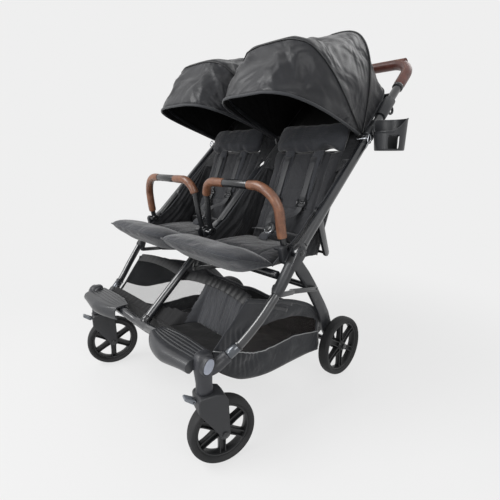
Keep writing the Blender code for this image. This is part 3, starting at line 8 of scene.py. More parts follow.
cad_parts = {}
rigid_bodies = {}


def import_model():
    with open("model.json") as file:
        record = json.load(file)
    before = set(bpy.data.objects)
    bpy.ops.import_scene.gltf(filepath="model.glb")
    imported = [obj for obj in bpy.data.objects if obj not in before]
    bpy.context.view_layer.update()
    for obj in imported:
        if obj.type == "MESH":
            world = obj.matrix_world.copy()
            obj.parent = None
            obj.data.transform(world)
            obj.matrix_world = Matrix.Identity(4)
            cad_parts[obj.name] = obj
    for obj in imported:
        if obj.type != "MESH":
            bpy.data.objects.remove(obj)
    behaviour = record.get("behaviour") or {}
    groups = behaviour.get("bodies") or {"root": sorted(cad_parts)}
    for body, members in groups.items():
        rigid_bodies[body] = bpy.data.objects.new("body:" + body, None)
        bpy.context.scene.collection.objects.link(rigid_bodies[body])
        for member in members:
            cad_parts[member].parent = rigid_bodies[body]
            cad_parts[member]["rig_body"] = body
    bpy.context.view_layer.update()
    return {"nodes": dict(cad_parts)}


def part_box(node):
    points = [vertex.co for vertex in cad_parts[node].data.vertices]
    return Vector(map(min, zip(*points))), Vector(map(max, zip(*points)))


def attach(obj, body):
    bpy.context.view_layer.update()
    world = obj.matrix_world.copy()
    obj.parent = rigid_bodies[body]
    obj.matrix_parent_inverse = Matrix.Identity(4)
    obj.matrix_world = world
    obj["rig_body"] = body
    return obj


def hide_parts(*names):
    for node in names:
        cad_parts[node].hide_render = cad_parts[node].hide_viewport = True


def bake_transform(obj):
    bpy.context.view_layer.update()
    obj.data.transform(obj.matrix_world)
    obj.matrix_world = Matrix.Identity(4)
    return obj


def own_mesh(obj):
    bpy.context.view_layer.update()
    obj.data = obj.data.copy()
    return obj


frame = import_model()
nodes = frame["nodes"]
print("frame loaded,", len(nodes), "solids")

# points below are measured from the floor under the stroller's middle, and origin moves them to the frame
axleLow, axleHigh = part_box("rear_axle")
origin = (axleLow + axleHigh) / 2 - Vector((0.0, 0.260, 0.096))
sides = (("left", 1), ("right", -1))


frameLine = {
    "slope": radians(43.7),      # lean of the handle tubes
    "pivotY": -0.035,
    "pivotZ": 0.479,
    "tubeX": 0.355,
    "tubeRadius": 0.0125,
    "handleReach": 0.7885,
    "handleBend": 0.070,
    "gripFrom": 0.6635,
}


def at(point):
    return Vector(point) + origin


def onFrame(distance, x, below=0.0):
    slope = frameLine["slope"]
    return Vector((x, frameLine["pivotY"] + distance * cos(slope) + below * sin(slope),
                   frameLine["pivotZ"] + distance * sin(slope) - below * cos(slope)))


# part holds the points and faces, uv the place of each point on the flat cloth
def makePiece(name, part, material, slot=None, body=None, sharp=None, uv=None):
    points, faces = part
    mesh = bpy.data.meshes.new(name)
    mesh.from_pydata([at(point) for point in points], [], faces)
    if uv:
        layer = mesh.uv_layers.new(name="cut")
        for loop in mesh.loops:
            layer.data[loop.index].uv = uv[loop.vertex_index]
    bm = bmesh.new()
    bm.from_mesh(mesh)
    bmesh.ops.recalc_face_normals(bm, faces=bm.faces)
    bm.to_mesh(mesh)
    bm.free()
    mesh.materials.append(material)
    mesh.shade_smooth()
    if sharp:
        mesh.set_sharp_from_angle(angle=radians(sharp))
    piece = bpy.data.objects.new(name, mesh)
    bpy.context.scene.collection.objects.link(piece)
    if body:
        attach(piece, body)
    return piece


# mesh with its modifiers applied
def baked(piece):
    bpy.context.view_layer.update()
    graph = bpy.context.evaluated_depsgraph_get()
    mesh = bpy.data.meshes.new_from_object(piece.evaluated_get(graph))
    piece.modifiers.clear()
    piece.data = mesh
    return piece


def smoothStep(value):
    value = max(0.0, min(1.0, value))
    return value * value * (3 - 2 * value)


def smoothLine(points, steps):
    points = [Vector(point) for point in points]
    ends = [points[0] * 2 - points[1]] + points + [points[-1] * 2 - points[-2]]
    line = []
    for index in range(1, len(ends) - 2):
        a, b, c, d = ends[index - 1:index + 3]
        for step in range(steps):
            t = step / steps
            line.append(0.5 * (2 * b + (c - a) * t + (2 * a - 5 * b + 4 * c - d) * t ** 2
                               + (3 * b - a - 3 * c + d) * t ** 3))
    line.append(points[-1])
    return line


# direction, normal and side at each point of a path
def frames(path, up, closed=False):
    normal = Vector(up)
    count = len(path)
    result = []
    for index in range(count):
        if closed:
            ahead, behind = path[(index + 1) % count], path[index - 1]
        else:
            ahead, behind = path[min(index + 1, count - 1)], path[max(index - 1, 0)]
        forward = (ahead - behind).normalized()
        normal = (normal - forward * normal.dot(forward)).normalized()
        result.append((forward, normal, forward.cross(normal)))
    return result


# points and faces of a section, a ring of (across, up) pairs, carried along a path
def sweep(path, section, up=(0, 0, 1), closed=False, scale=None):
    path = [Vector(point) for point in path]
    points, faces = [], []
    for index, (forward, normal, side) in enumerate(frames(path, up, closed)):
        size = scale[index] if scale else 1.0
        sizeX, sizeY = size if isinstance(size, tuple) else (size, size)
        for across, above in section:
            points.append(path[index] + side * across * sizeX + normal * above * sizeY)
    count, rings = len(section), len(path)
    for ring in range(rings if closed else rings - 1):
        here, there = ring * count, (ring + 1) % rings * count
        for step in range(count):
            after = (step + 1) % count
            faces.append((here + step, here + after, there + after, there + step))
    if not closed:
        faces.append(tuple(range(count))[::-1])
        faces.append(tuple(range((rings - 1) * count, rings * count)))
    return points, faces


def circle(radius, count=20, flat=1.0):
    return [(radius * cos(2 * pi * step / count), radius * flat * sin(2 * pi * step / count))
            for step in range(count)]


# section of a strap with rounded edges
def band(width, thick):
    half, r = width / 2, thick / 2
    right = [(0, r), (half - r, r), (half - r * 0.4, r * 0.8), (half, 0), (half - r * 0.4, -r * 0.8),
             (half - r, -r)]
    return right + [(-x, -y) for x, y in right]


def joined(*parts):
    points, faces = [], []
    for morePoints, moreFaces in parts:
        start = len(points)
        points += morePoints
        faces += [tuple(index + start for index in face) for face in moreFaces]
    return points, faces


# points and faces of a sheet from rows of points, and the same sheet's UV in metres
def grid(rows):
    width = len(rows[0])
    points = [point for row in rows for point in row]
    faces = [(r * width + c, r * width + c + 1, (r + 1) * width + c + 1, (r + 1) * width + c)
             for r in range(len(rows) - 1) for c in range(width - 1)]
    uv = []
    for r, row in enumerate(rows):
        along = 0.0
        for c, point in enumerate(row):
            if c:
                along += (Vector(point) - Vector(row[c - 1])).length
            uv.append([along, 0.0])
    for c in range(width):
        down = 0.0
        for r in range(len(rows)):
            if r:
                down += (Vector(rows[r][c]) - Vector(rows[r - 1][c])).length
            uv[r * width + c][1] = down
    return points, faces, uv


# closed pad between two height fields over u and v from -1 to 1
def cushion(place, top, bottom, columns, rows):
    points, faces = [], []
    width = columns + 1
    for height in (top, bottom):
        for row in range(rows + 1):
            v = -cos(pi * row / rows)
            for column in range(width):
                u = -cos(pi * column / columns)
                points.append(place(u, v, height(u, v)))
    size = width * (rows + 1)
    for row in range(rows):
        for column in range(columns):
            a = row * width + column
            faces.append((a, a + 1, a + width + 1, a + width))
            faces.append((a + size, a + width + size, a + width + 1 + size, a + 1 + size))
    border = [column for column in range(columns)] + [row * width + columns for row in range(rows)]
    border += [rows * width + column for column in range(columns, 0, -1)]
    border += [row * width for row in range(rows, 0, -1)]

    for here, after in zip(border, border[1:] + border[:1]):
        faces.append((here, here + size, after + size, after))
    return points, faces


# pads puff up under air pressure in a cloth simulation, and no point moves further than cap
def swollen(piece, voxel, pressure, cap, steps=20, pinned=None):
    remesh = piece.modifiers.new("remesh", "REMESH")
    remesh.mode = "VOXEL"
    remesh.voxel_size = voxel
    baked(piece)
    still = [vertex.co.copy() for vertex in piece.data.vertices]
    cloth = piece.modifiers.new("cloth", "CLOTH")
    cloth.settings.use_pressure = True
    cloth.settings.uniform_pressure_force = pressure
    cloth.settings.quality = 5
    cloth.settings.effector_weights.gravity = 0.0
    cloth.settings.tension_stiffness = 30
    cloth.settings.compression_stiffness = 30
    cloth.settings.bending_stiffness = 2
    cloth.point_cache.frame_start = 1
    cloth.point_cache.frame_end = steps
    scene = bpy.context.scene
    for step in range(1, steps + 1):
        scene.frame_set(step)
    baked(piece)
    scene.frame_set(1)
    for vertex, rest in zip(piece.data.vertices, still):
        move = vertex.co - rest
        if pinned:
            move = move * pinned(rest - origin)
        if move.length > cap:
            move = move * (cap / move.length)
        vertex.co = rest + move
    smooth = piece.modifiers.new("smooth", "SMOOTH")
    smooth.factor = 0.6
    smooth.iterations = 3
    finer = piece.modifiers.new("finer", "SUBSURF")
    finer.levels = 1
    finer.render_levels = 1
    baked(piece)
    piece.data.shade_smooth()
    return piece


def rounded(piece, edge, sharpest):
    rounding = piece.modifiers.new("rounding", "BEVEL")
    rounding.width = edge
    rounding.segments = 2
    rounding.limit_method = "ANGLE"
    rounding.angle_limit = radians(sharpest)
    return baked(piece)


# a solid's own shape with its edges rounded, so that they catch the light
def refined(node, material, edge, slot, keepSharp=42):
    bm = bmesh.new()
    bm.from_mesh(nodes[node].data)
    bmesh.ops.remove_doubles(bm, verts=bm.verts, dist=0.00002)
    bmesh.ops.dissolve_limit(bm, angle_limit=radians(1), verts=bm.verts, edges=bm.edges)
    mesh = bpy.data.meshes.new(node + "_fine")
    bm.to_mesh(mesh)
    bm.free()
    mesh.materials.append(material)
    piece = bpy.data.objects.new(node + "_fine", mesh)
    bpy.context.scene.collection.objects.link(piece)
    rounded(piece, edge, keepSharp)
    piece.data.shade_smooth()
    piece.data.set_sharp_from_angle(angle=radians(keepSharp))
    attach(piece, nodes[node]["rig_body"])
    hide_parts(node)


# found by fitting the stroller's wheels, pivots and handle to the photograph
view = {
    "place": (0.9604, -0.7576, 0.7224), "yaw": radians(46.3021), "pitch": radians(10.0485),
    "lens": 27.42, "shiftX": -0.01345, "shiftY": -0.0558,
}


def makeCamera():
    camera = bpy.data.objects.new("camera", bpy.data.cameras.new("camera"))
    bpy.context.scene.collection.objects.link(camera)
    yaw, pitch = view["yaw"], view["pitch"]
    forward = Vector((-sin(yaw) * cos(pitch), cos(yaw) * cos(pitch), -sin(pitch)))
    right = Vector((cos(yaw), sin(yaw), 0.0))
    turn = Matrix((right, right.cross(forward), -forward)).transposed().to_4x4()
    camera.matrix_world = Matrix.Translation(at(view["place"])) @ turn
    camera.data.sensor_width = 36
    camera.data.lens = view["lens"]
    camera.data.shift_x = view["shiftX"]
    camera.data.shift_y = view["shiftY"]
    camera.data.clip_start = 0.01
    bpy.context.scene.camera = camera


# sRGB hex value to linear colour
def hexColor(text):
    values = [int(text[index:index + 2], 16) / 255 for index in (1, 3, 5)]
    return (*[value / 12.92 if value <= 0.04045 else ((value + 0.055) / 1.055) ** 2.4 for value in values], 1.0)


def addNode(tree, kind, settings=None, links=None):
    node = tree.nodes.new(kind)
    for key, value in (settings or {}).items():
        if isinstance(key, int) or key in node.inputs:
            node.inputs[key].default_value = value
        else:
            setattr(node, key, value)
    for key, source in (links or {}).items():
        tree.links.new(source, node.inputs[key])
    return node


studio = {
    "background": "#efefef",
    "world": 0.34,               # soft light from all round
    "key": 58.0, "keySize": 1.3, "keyPlace": (-0.9, -1.9, 2.5),
    "front": 16.0, "frontSize": 0.5, "frontPlace": (0.1, -2.3, 1.0),
    "fill": 15.0, "fillSize": 1.0, "fillPlace": (2.1, -0.7, 1.5),
    "rim": 9.0, "rimSize": 1.1, "rimPlace": (0.4, 1.9, 2.1),
    "floorHalf": 30,
    "vinyl": 0.90,               # how pale the floor is under the lamps
    "shadowShare": 0.80,         # how much of the flat tone lies over the shadow under the stroller
    "shadowReach": (0.55, 1.5),  # metres from the stroller over which the floor turns to the flat tone
}


# 1 where the camera, glass or a polished face sees the backdrop, 0 where it only lights the stroller
def seenMask(tree):
    rays = addNode(tree, "ShaderNodeLightPath")
    seen = rays.outputs["Is Camera Ray"]
    for kind in ("Is Transmission Ray", "Is Glossy Ray"):
        either = addNode(tree, "ShaderNodeMath", {"operation": "MAXIMUM"}, {0: seen, 1: rays.outputs[kind]})
        seen = either.outputs[0]
    return seen


def makeStudio():
    scene = bpy.context.scene
    scene.view_settings.view_transform = "Standard"
    pale = hexColor(studio["background"])
    world = bpy.data.worlds.new("studio")
    scene.world = world
    world.use_nodes = True
    tree = world.node_tree
    tree.nodes.clear()
    soft = addNode(tree, "ShaderNodeBackground", {"Color": (1, 1, 1, 1), "Strength": studio["world"]})
    flat = addNode(tree, "ShaderNodeBackground", {"Color": pale, "Strength": 1.0})
    mixed = addNode(tree, "ShaderNodeMixShader", {}, {0: seenMask(tree), 1: soft.outputs[0], 2: flat.outputs[0]})
    addNode(tree, "ShaderNodeOutputWorld", {}, {"Surface": mixed.outputs[0]})

    floorMaterial = bpy.data.materials.new("matte_backdrop_vinyl")
    floorMaterial.use_nodes = True
    tree = floorMaterial.node_tree
    tree.nodes.clear()
    # the vinyl keeps the shadow, and the flat tone over it keeps it as pale as the backdrop
    vinyl = addNode(tree, "ShaderNodeBsdfPrincipled", {"Base Color": (*[studio["vinyl"]] * 3, 1), "Roughness": 0.32,
                                                       "Specular IOR Level": 0.25})
    flat = addNode(tree, "ShaderNodeEmission", {"Color": pale, "Strength": 1.0})
    coordinates = addNode(tree, "ShaderNodeTexCoord")
    away = addNode(tree, "ShaderNodeVectorMath", {"operation": "LENGTH"}, {0: coordinates.outputs["Object"]})
    near, far = studio["shadowReach"]
    reach = addNode(tree, "ShaderNodeMapRange", {"From Min": near, "From Max": far, "To Min": studio["shadowShare"],
                                                 "To Max": 1.0, "interpolation_type": "SMOOTHSTEP"},
                    {"Value": away.outputs["Value"]})
    share = addNode(tree, "ShaderNodeMath", {"operation": "MULTIPLY"}, {0: seenMask(tree), 1: reach.outputs[0]})
    mixed = addNode(tree, "ShaderNodeMixShader", {}, {0: share.outputs[0], 1: vinyl.outputs[0], 2: flat.outputs[0]})
    addNode(tree, "ShaderNodeOutputMaterial", {}, {"Surface": mixed.outputs[0]})

    mesh = bpy.data.meshes.new("floor")
    far = studio["floorHalf"]
    mesh.from_pydata([(-far, -far, 0), (far, -far, 0), (far, far, 0), (-far, far, 0)], [], [(0, 1, 2, 3)])
    mesh.materials.append(floorMaterial)
    floor = bpy.data.objects.new("floor", mesh)
    scene.collection.objects.link(floor)

    for name in ("key", "front", "fill", "rim"):
        data = bpy.data.lights.new(name, "AREA")
        data.energy = studio[name]
        data.size = studio[name + "Size"]
        lamp = bpy.data.objects.new(name, data)
        scene.collection.objects.link(lamp)
        place = at(studio[name + "Place"])
        lamp.location = place
        lamp.rotation_euler = (at((0.05, 0.0, 0.6)) - place).to_track_quat("-Z", "Y").to_euler()


makeCamera()
makeStudio()
print("camera and studio ready")


def newMaterial(name, settings):
    material = bpy.data.materials.new(name)
    material.use_nodes = True
    tree = material.node_tree
    shader = tree.nodes["Principled BSDF"]
    for key, value in settings.items():
        shader.inputs[key].default_value = value
    return material, tree, shader


# base colour between two tones of the same surface
def tone(tree, shader, factor, dark, light, low=0.3, high=0.7):
    ramp = addNode(tree, "ShaderNodeValToRGB", {}, {"Fac": factor})
    ramp.color_ramp.elements[0].position = low
    ramp.color_ramp.elements[0].color = hexColor(dark)
    ramp.color_ramp.elements[1].position = high
    ramp.color_ramp.elements[1].color = hexColor(light)
    tree.links.new(ramp.outputs["Color"], shader.inputs["Base Color"])


# polyester oxford cloth: plain weave of coated yarn, matt with a faint sheen at grazing angles
def wovenCloth(name, dark, light, roughness, pitch, sheen, bump, useCut=False, folds=0.0, foldScale=26.0):
    material, tree, shader = newMaterial(name, {"Roughness": roughness, "IOR": 1.5, "Sheen Weight": sheen,
                                                "Sheen Roughness": 0.45, "Specular IOR Level": 0.32})
    coordinates = addNode(tree, "ShaderNodeTexCoord")
    place = coordinates.outputs["UV" if useCut else "Object"]
    # a wave has 20 / (2 pi) bands in a unit, and yarn pitch is in metres, drawn coarser than the real 0.4 mm
    wave = {"wave_type": "BANDS", "Scale": 2 * pi / 20 / pitch, "Distortion": 0.35, "Detail": 1.0,
            "Detail Scale": 3.0}
    warp = addNode(tree, "ShaderNodeTexWave", {**wave, "bands_direction": "X"}, {"Vector": place})
    if not useCut:
        turned = addNode(tree, "ShaderNodeMapping", {"Rotation": (radians(45), 0, 0)}, {"Vector": place})
        place = turned.outputs[0]
    weft = addNode(tree, "ShaderNodeTexWave", {**wave, "bands_direction": "Y"}, {"Vector": place})
    weave = addNode(tree, "ShaderNodeMath", {"operation": "MULTIPLY"},
                    {0: warp.outputs["Fac"], 1: weft.outputs["Fac"]})

    yarn = addNode(tree, "ShaderNodeTexNoise", {"Scale": 420.0, "Detail": 3.0, "Roughness": 0.6},
                   {"Vector": coordinates.outputs["Object"]})
    # large patches a little lighter or darker: partly faded cloth, partly painted shade and sheen of the folds
    foldShadeAndFade = addNode(tree, "ShaderNodeTexNoise", {"Scale": 9.0, "Detail": 4.0, "Roughness": 0.55},
                   {"Vector": coordinates.outputs["Object"]})
    mixed = addNode(tree, "ShaderNodeMath", {"operation": "MULTIPLY_ADD", 1: 0.55},
                    {0: foldShadeAndFade.outputs["Fac"], 2: yarn.outputs["Fac"]})
    woven = addNode(tree, "ShaderNodeMath", {"operation": "MULTIPLY_ADD", 1: 0.25},
                    {0: weave.outputs[0], 2: mixed.outputs[0]})
    tone(tree, shader, woven.outputs[0], dark, light, 0.45, 1.15)
    low = addNode(tree, "ShaderNodeBump", {"Strength": bump, "Distance": 0.0006}, {"Height": weave.outputs[0]})
    grain = addNode(tree, "ShaderNodeBump", {"Strength": bump * 0.6, "Distance": 0.0004},
                    {"Height": yarn.outputs["Fac"], "Normal": low.outputs[0]})
    last = grain
    if folds:
        wrinkle = addNode(tree, "ShaderNodeTexNoise", {"Scale": foldScale, "Detail": 2.0, "Roughness": 0.45,
                                                       "Distortion": 0.9},
                          {"Vector": coordinates.outputs["Object"]})
        last = addNode(tree, "ShaderNodeBump", {"Strength": folds, "Distance": 0.3 / foldScale},
                       {"Height": wrinkle.outputs["Fac"], "Normal": grain.outputs[0]})
    tree.links.new(last.outputs[0], shader.inputs["Normal"])
    return material


# glass-filled nylon or ABS, spark-eroded mould texture that breaks the highlight up
def mouldedPlastic(name, dark, light, roughness, grain, grainScale, coat=0.0):
    material, tree, shader = newMaterial(name, {"Roughness": roughness, "IOR": 1.49, "Coat Weight": coat,
                                                "Coat Roughness": 0.2})
    coordinates = addNode(tree, "ShaderNodeTexCoord")
    pits = addNode(tree, "ShaderNodeTexNoise", {"Scale": grainScale, "Detail": 2.0, "Roughness": 0.6},
                   {"Vector": coordinates.outputs["Object"]})
    flow = addNode(tree, "ShaderNodeTexNoise", {"Scale": 14.0, "Detail": 3.0},
                   {"Vector": coordinates.outputs["Object"]})
    tone(tree, shader, flow.outputs["Fac"], dark, light)
    rough = addNode(tree, "ShaderNodeMapRange", {"From Min": 0.3, "From Max": 0.7, "To Min": roughness * 0.88,
                                                 "To Max": roughness * 1.12}, {"Value": flow.outputs["Fac"]})
    tree.links.new(rough.outputs[0], shader.inputs["Roughness"])
    bump = addNode(tree, "ShaderNodeBump", {"Strength": grain, "Distance": 0.0003},
                   {"Height": pits.outputs["Fac"]})
    tree.links.new(bump.outputs[0], shader.inputs["Normal"])
    return material


# aluminium tube, powder coated satin black: long soft highlights with a slight orange peel
def paintedTube(name, dark, light, roughness, metallic):
    material, tree, shader = newMaterial(name, {"Roughness": roughness, "Metallic": metallic, "IOR": 1.5,
                                                "Coat Weight": 0.9, "Coat Roughness": 0.14})
    coordinates = addNode(tree, "ShaderNodeTexCoord")
    place = {"Vector": coordinates.outputs["Object"]}
    peel = addNode(tree, "ShaderNodeTexNoise", {"Scale": 900.0, "Detail": 1.0}, place)
    patch = addNode(tree, "ShaderNodeTexNoise", {"Scale": 18.0, "Detail": 3.0}, place)
    tone(tree, shader, patch.outputs["Fac"], dark, light)
    bump = addNode(tree, "ShaderNodeBump", {"Strength": 0.12, "Distance": 0.0003}, {"Height": peel.outputs["Fac"]})
    tree.links.new(bump.outputs[0], shader.inputs["Normal"])
    return material


# polyurethane leather on a foam sleeve: fine pebble grain, darker in the grain, a little polish on top
def stitchedLeather(name, dark, light, roughness):
    material, tree, shader = newMaterial(name, {"Roughness": roughness, "IOR": 1.48, "Coat Weight": 0.15,
                                                "Coat Roughness": 0.35})
    coordinates = addNode(tree, "ShaderNodeTexCoord")
    # pebbles of about 1.4 mm
    pebble = addNode(tree, "ShaderNodeTexVoronoi", {"Scale": 700.0}, {"Vector": coordinates.outputs["Object"]})
    patch = addNode(tree, "ShaderNodeTexNoise", {"Scale": 38.0, "Detail": 5.0, "Roughness": 0.6},
                    {"Vector": coordinates.outputs["Object"]})
    mixed = addNode(tree, "ShaderNodeMath", {"operation": "MULTIPLY_ADD", 1: -0.35},
                    {0: pebble.outputs["Distance"], 2: patch.outputs["Fac"]})
    tone(tree, shader, mixed.outputs[0], dark, light, 0.15, 0.6)
    rough = addNode(tree, "ShaderNodeMapRange", {"From Min": 0.3, "From Max": 0.7, "To Min": roughness * 0.8,
                                                 "To Max": roughness * 1.2}, {"Value": patch.outputs["Fac"]})
    tree.links.new(rough.outputs[0], shader.inputs["Roughness"])
    bump = addNode(tree, "ShaderNodeBump", {"Strength": 0.35, "Distance": 0.0004},
                   {"Height": pebble.outputs["Distance"]})
    tree.links.new(bump.outputs[0], shader.inputs["Normal"])
    return material


# polyester tulle net: fine yarn with holes too small to see apart, so it shows as a veil
def meshNet(name, dark, light, pitch, thinnest, densest):
    material, tree, shader = newMaterial(name, {"Roughness": 0.7, "IOR": 1.5})
    coordinates = addNode(tree, "ShaderNodeTexCoord")
    bands = 2 * pi / 20 / pitch
    turned = addNode(tree, "ShaderNodeMapping", {"Rotation": (0, 0, radians(45))},
                     {"Vector": coordinates.outputs["UV"]})
    place = {"Vector": turned.outputs[0]}
    first = addNode(tree, "ShaderNodeTexWave", {"bands_direction": "X", "Scale": bands}, place)
    second = addNode(tree, "ShaderNodeTexWave", {"bands_direction": "Y", "Scale": bands}, place)
    most = addNode(tree, "ShaderNodeMath", {"operation": "MAXIMUM"},
                   {0: first.outputs["Fac"], 1: second.outputs["Fac"]})
    veil = addNode(tree, "ShaderNodeMapRange", {"From Min": 0.3, "From Max": 1.0, "To Min": thinnest,
                                                "To Max": densest}, {"Value": most.outputs[0]})

    tone(tree, shader, most.outputs[0], dark, light)
    tree.links.new(veil.outputs[0], shader.inputs["Alpha"])
    return material


# nylon webbing: ribs along the strap, their crests painted a tone lighter as a painted sheen
def ribbedWebbing(name, dark, light):
    material, tree, shader = newMaterial(name, {"Roughness": 0.55, "IOR": 1.53, "Sheen Weight": 0.2})
    coordinates = addNode(tree, "ShaderNodeTexCoord")
    # ribs 2.2 mm apart, drawn coarser than the real 1 mm
    rib = addNode(tree, "ShaderNodeTexWave", {"bands_direction": "DIAGONAL", "Scale": 2 * pi / 20 / 0.0022,
                                              "Distortion": 0.3}, {"Vector": coordinates.outputs["Object"]})
    tone(tree, shader, rib.outputs["Fac"], dark, light, 0.0, 1.0)
    bump = addNode(tree, "ShaderNodeBump", {"Strength": 0.5, "Distance": 0.0005}, {"Height": rib.outputs["Fac"]})
    tree.links.new(bump.outputs[0], shader.inputs["Normal"])
    return material


finish = {
    # painted tubes and moulded parts: near black, told apart by how sharp their highlight is
    "paint": paintedTube("powder_coated_aluminium", "#18191c", "#222428", 0.32, 0.0),
    "plastic": mouldedPlastic("glass_filled_nylon", "#202124", "#292b2e", 0.42, 0.25, 1400.0),
    "gloss": mouldedPlastic("smooth_abs", "#17181a", "#1f2023", 0.28, 0.08, 900.0, 0.3),
    "leg": mouldedPlastic("textured_nylon_leg", "#2a2b2e", "#34353a", 0.46, 0.25, 1400.0),
    "fork": mouldedPlastic("textured_nylon_fork", "#232426", "#2b2c2f", 0.52, 0.30, 1400.0),
    "tread": mouldedPlastic("satin_nylon_footrest", "#2a2b2d", "#36373a", 0.33, 0.18, 1400.0, 0.15),
    "rim": mouldedPlastic("nylon_wheel_rim", "#151617", "#1d1e20", 0.45, 0.2, 1200.0),
    "tyre": mouldedPlastic("foamed_rubber_tyre", "#161617", "#1f2021", 0.72, 0.6, 500.0),       # dull, no highlight
    # the few pale or metallic parts
    "anodised": paintedTube("anodised_aluminium_collar", "#3c3f44", "#54585e", 0.34, 0.8),      # dull grey metal
    "steel": paintedTube("bright_zinc_plated_steel", "#a8abb0", "#c6c9ce", 0.26, 1.0),          # bright glints
    "greyPlastic": mouldedPlastic("grey_abs_cap", "#969ba8", "#a6abb8", 0.40, 0.15, 1200.0),    # flat cool grey
    "lockPlastic": mouldedPlastic("silver_grey_abs", "#6a6e74", "#7c8087", 0.35, 0.15, 1200.0),
    "reflective": mouldedPlastic("reflective_piping", "#8d8f90", "#b5b7b8", 0.35, 0.1, 900.0),  # pale thin line
    # the hood's coated cloth shines softly in its folds; its black lining is painted darker still, a painted shade
    # inside the hood
    "hood": wovenCloth("coated_polyester_canopy", "#0e0f12", "#1b1c20", 0.43, 0.0016, 0.15, 0.10, True, 0.70, 8.5),
    "hoodLiningShade": wovenCloth("canopy_lining_painted_shade", "#040405", "#09090a", 0.90, 0.0016, 0.02, 0.10, True),
    # seat cloths are matt, mottled and a step lighter where they are padded; the side walls' cloth is painted
    # darker, a painted shade inside the seat
    "seat": wovenCloth("melange_polyester_seat", "#17181a", "#292a2e", 0.74, 0.0018, 0.30, 0.30, False, 0.45),
    "pad": wovenCloth("padded_seat_cover", "#222327", "#35373c", 0.74, 0.0018, 0.35, 0.30, False, 0.25),
    "wing": wovenCloth("side_wall_polyester_painted_shade", "#0e0f11", "#1b1c1f", 0.70, 0.0018, 0.2, 0.25, True, 0.45),
    # basket cloths, with a veil of net that lets the dark inside through; the inside cloth is painted darker than
    # the walls as painted shade, and the gathered cloth lighter as a painted sheen
    "basket": wovenCloth("basket_polyester", "#191a1d", "#292b2f", 0.62, 0.0018, 0.30, 0.25, True, 0.25),
    "gathered": wovenCloth("gathered_polyester_painted_sheen", "#17181b", "#2b2d32", 0.52, 0.0018, 0.35, 0.20, True, 0.10),
    "basketInsideShade": wovenCloth("basket_floor_polyester_painted_shade", "#09090a", "#121214", 0.75, 0.0018, 0.10, 0.25, True,
                               0.25),
    "net": meshNet("tulle_net", "#2e2a28", "#423d3b", 0.0022, 0.10, 0.20),
    "sheerNet": meshNet("sheer_polyester_net", "#0c0c0d", "#17181a", 0.0018, 0.03, 0.08),
    # trims: bindings are painted a tone lighter, a painted highlight that gives a thin edge of light; threads are a
    # tone lighter than what they sew
    "binding": wovenCloth("grosgrain_binding_painted_highlight", "#1d1e21", "#2d2f33", 0.6, 0.0014, 0.25, 0.2),
    "piping": mouldedPlastic("cord_piping", "#0b0b0d", "#131416", 0.5, 0.3, 700.0),
    "webbing": ribbedWebbing("nylon_webbing", "#121316", "#23252a"),
    "thread": mouldedPlastic("polyester_thread", "#8a6a58", "#a78671", 0.6, 0.1, 900.0),
    # warm brown leather with a polished crown, the only colour on the stroller
    "leather": stitchedLeather("tan_leatherette", "#5d3b2b", "#8d6147", 0.33),
    "darkLeather": stitchedLeather("brown_leatherette", "#4c2a24", "#6a3e35", 0.40),
}


print("materials ready:", len(finish))


# tubes, mouldings and wheels, in metres and radians
chassis = {
    "casterX": 0.306, "casterY": -0.298, "casterTurn": radians(17.5), "trail": 0.040,
    "frontRadius": 0.0825, "rearRadius": 0.096, "treadHalf": 0.0178, "tyreDepth": 0.017,
    "rearX": 0.295, "rearY": 0.260,
    "spokes": 6, "grooveDepth": 0.0007, "groovePitch": 0.0052,      # round the treads
    "lowerTube": 0.0108, "centreTube": 0.0113, "rail": 0.0092, "crossbar": 0.0123, "crossTube": 0.0092,
    "capWide": 0.0128, "capTall": 0.0178,
}


# points and faces of a closed (radius, x) outline turned round the X axis
def turnedAround(profile, steps=96):
    turns = [2 * pi * step / steps for step in range(steps)]
    points = [Vector((x, radius * cos(turn), radius * sin(turn))) for radius, x in profile for turn in turns]
    faces = []
    for row in range(len(profile)):
        there = (row + 1) % len(profile)
        for step in range(steps):
            after = (step + 1) % steps
            faces.append((row * steps + step, row * steps + after, there * steps + after, there * steps + step))
    return points, faces


def placed(part, matrix):
    points, faces = part
    return [matrix @ Vector(point) for point in points], faces


# closed (radius, x) outline smoothed through its points
def outlineCurve(outline, steps):
    return [(point.x, point.y) for point in smoothLine([(r, x, 0) for r, x in outline], steps)]


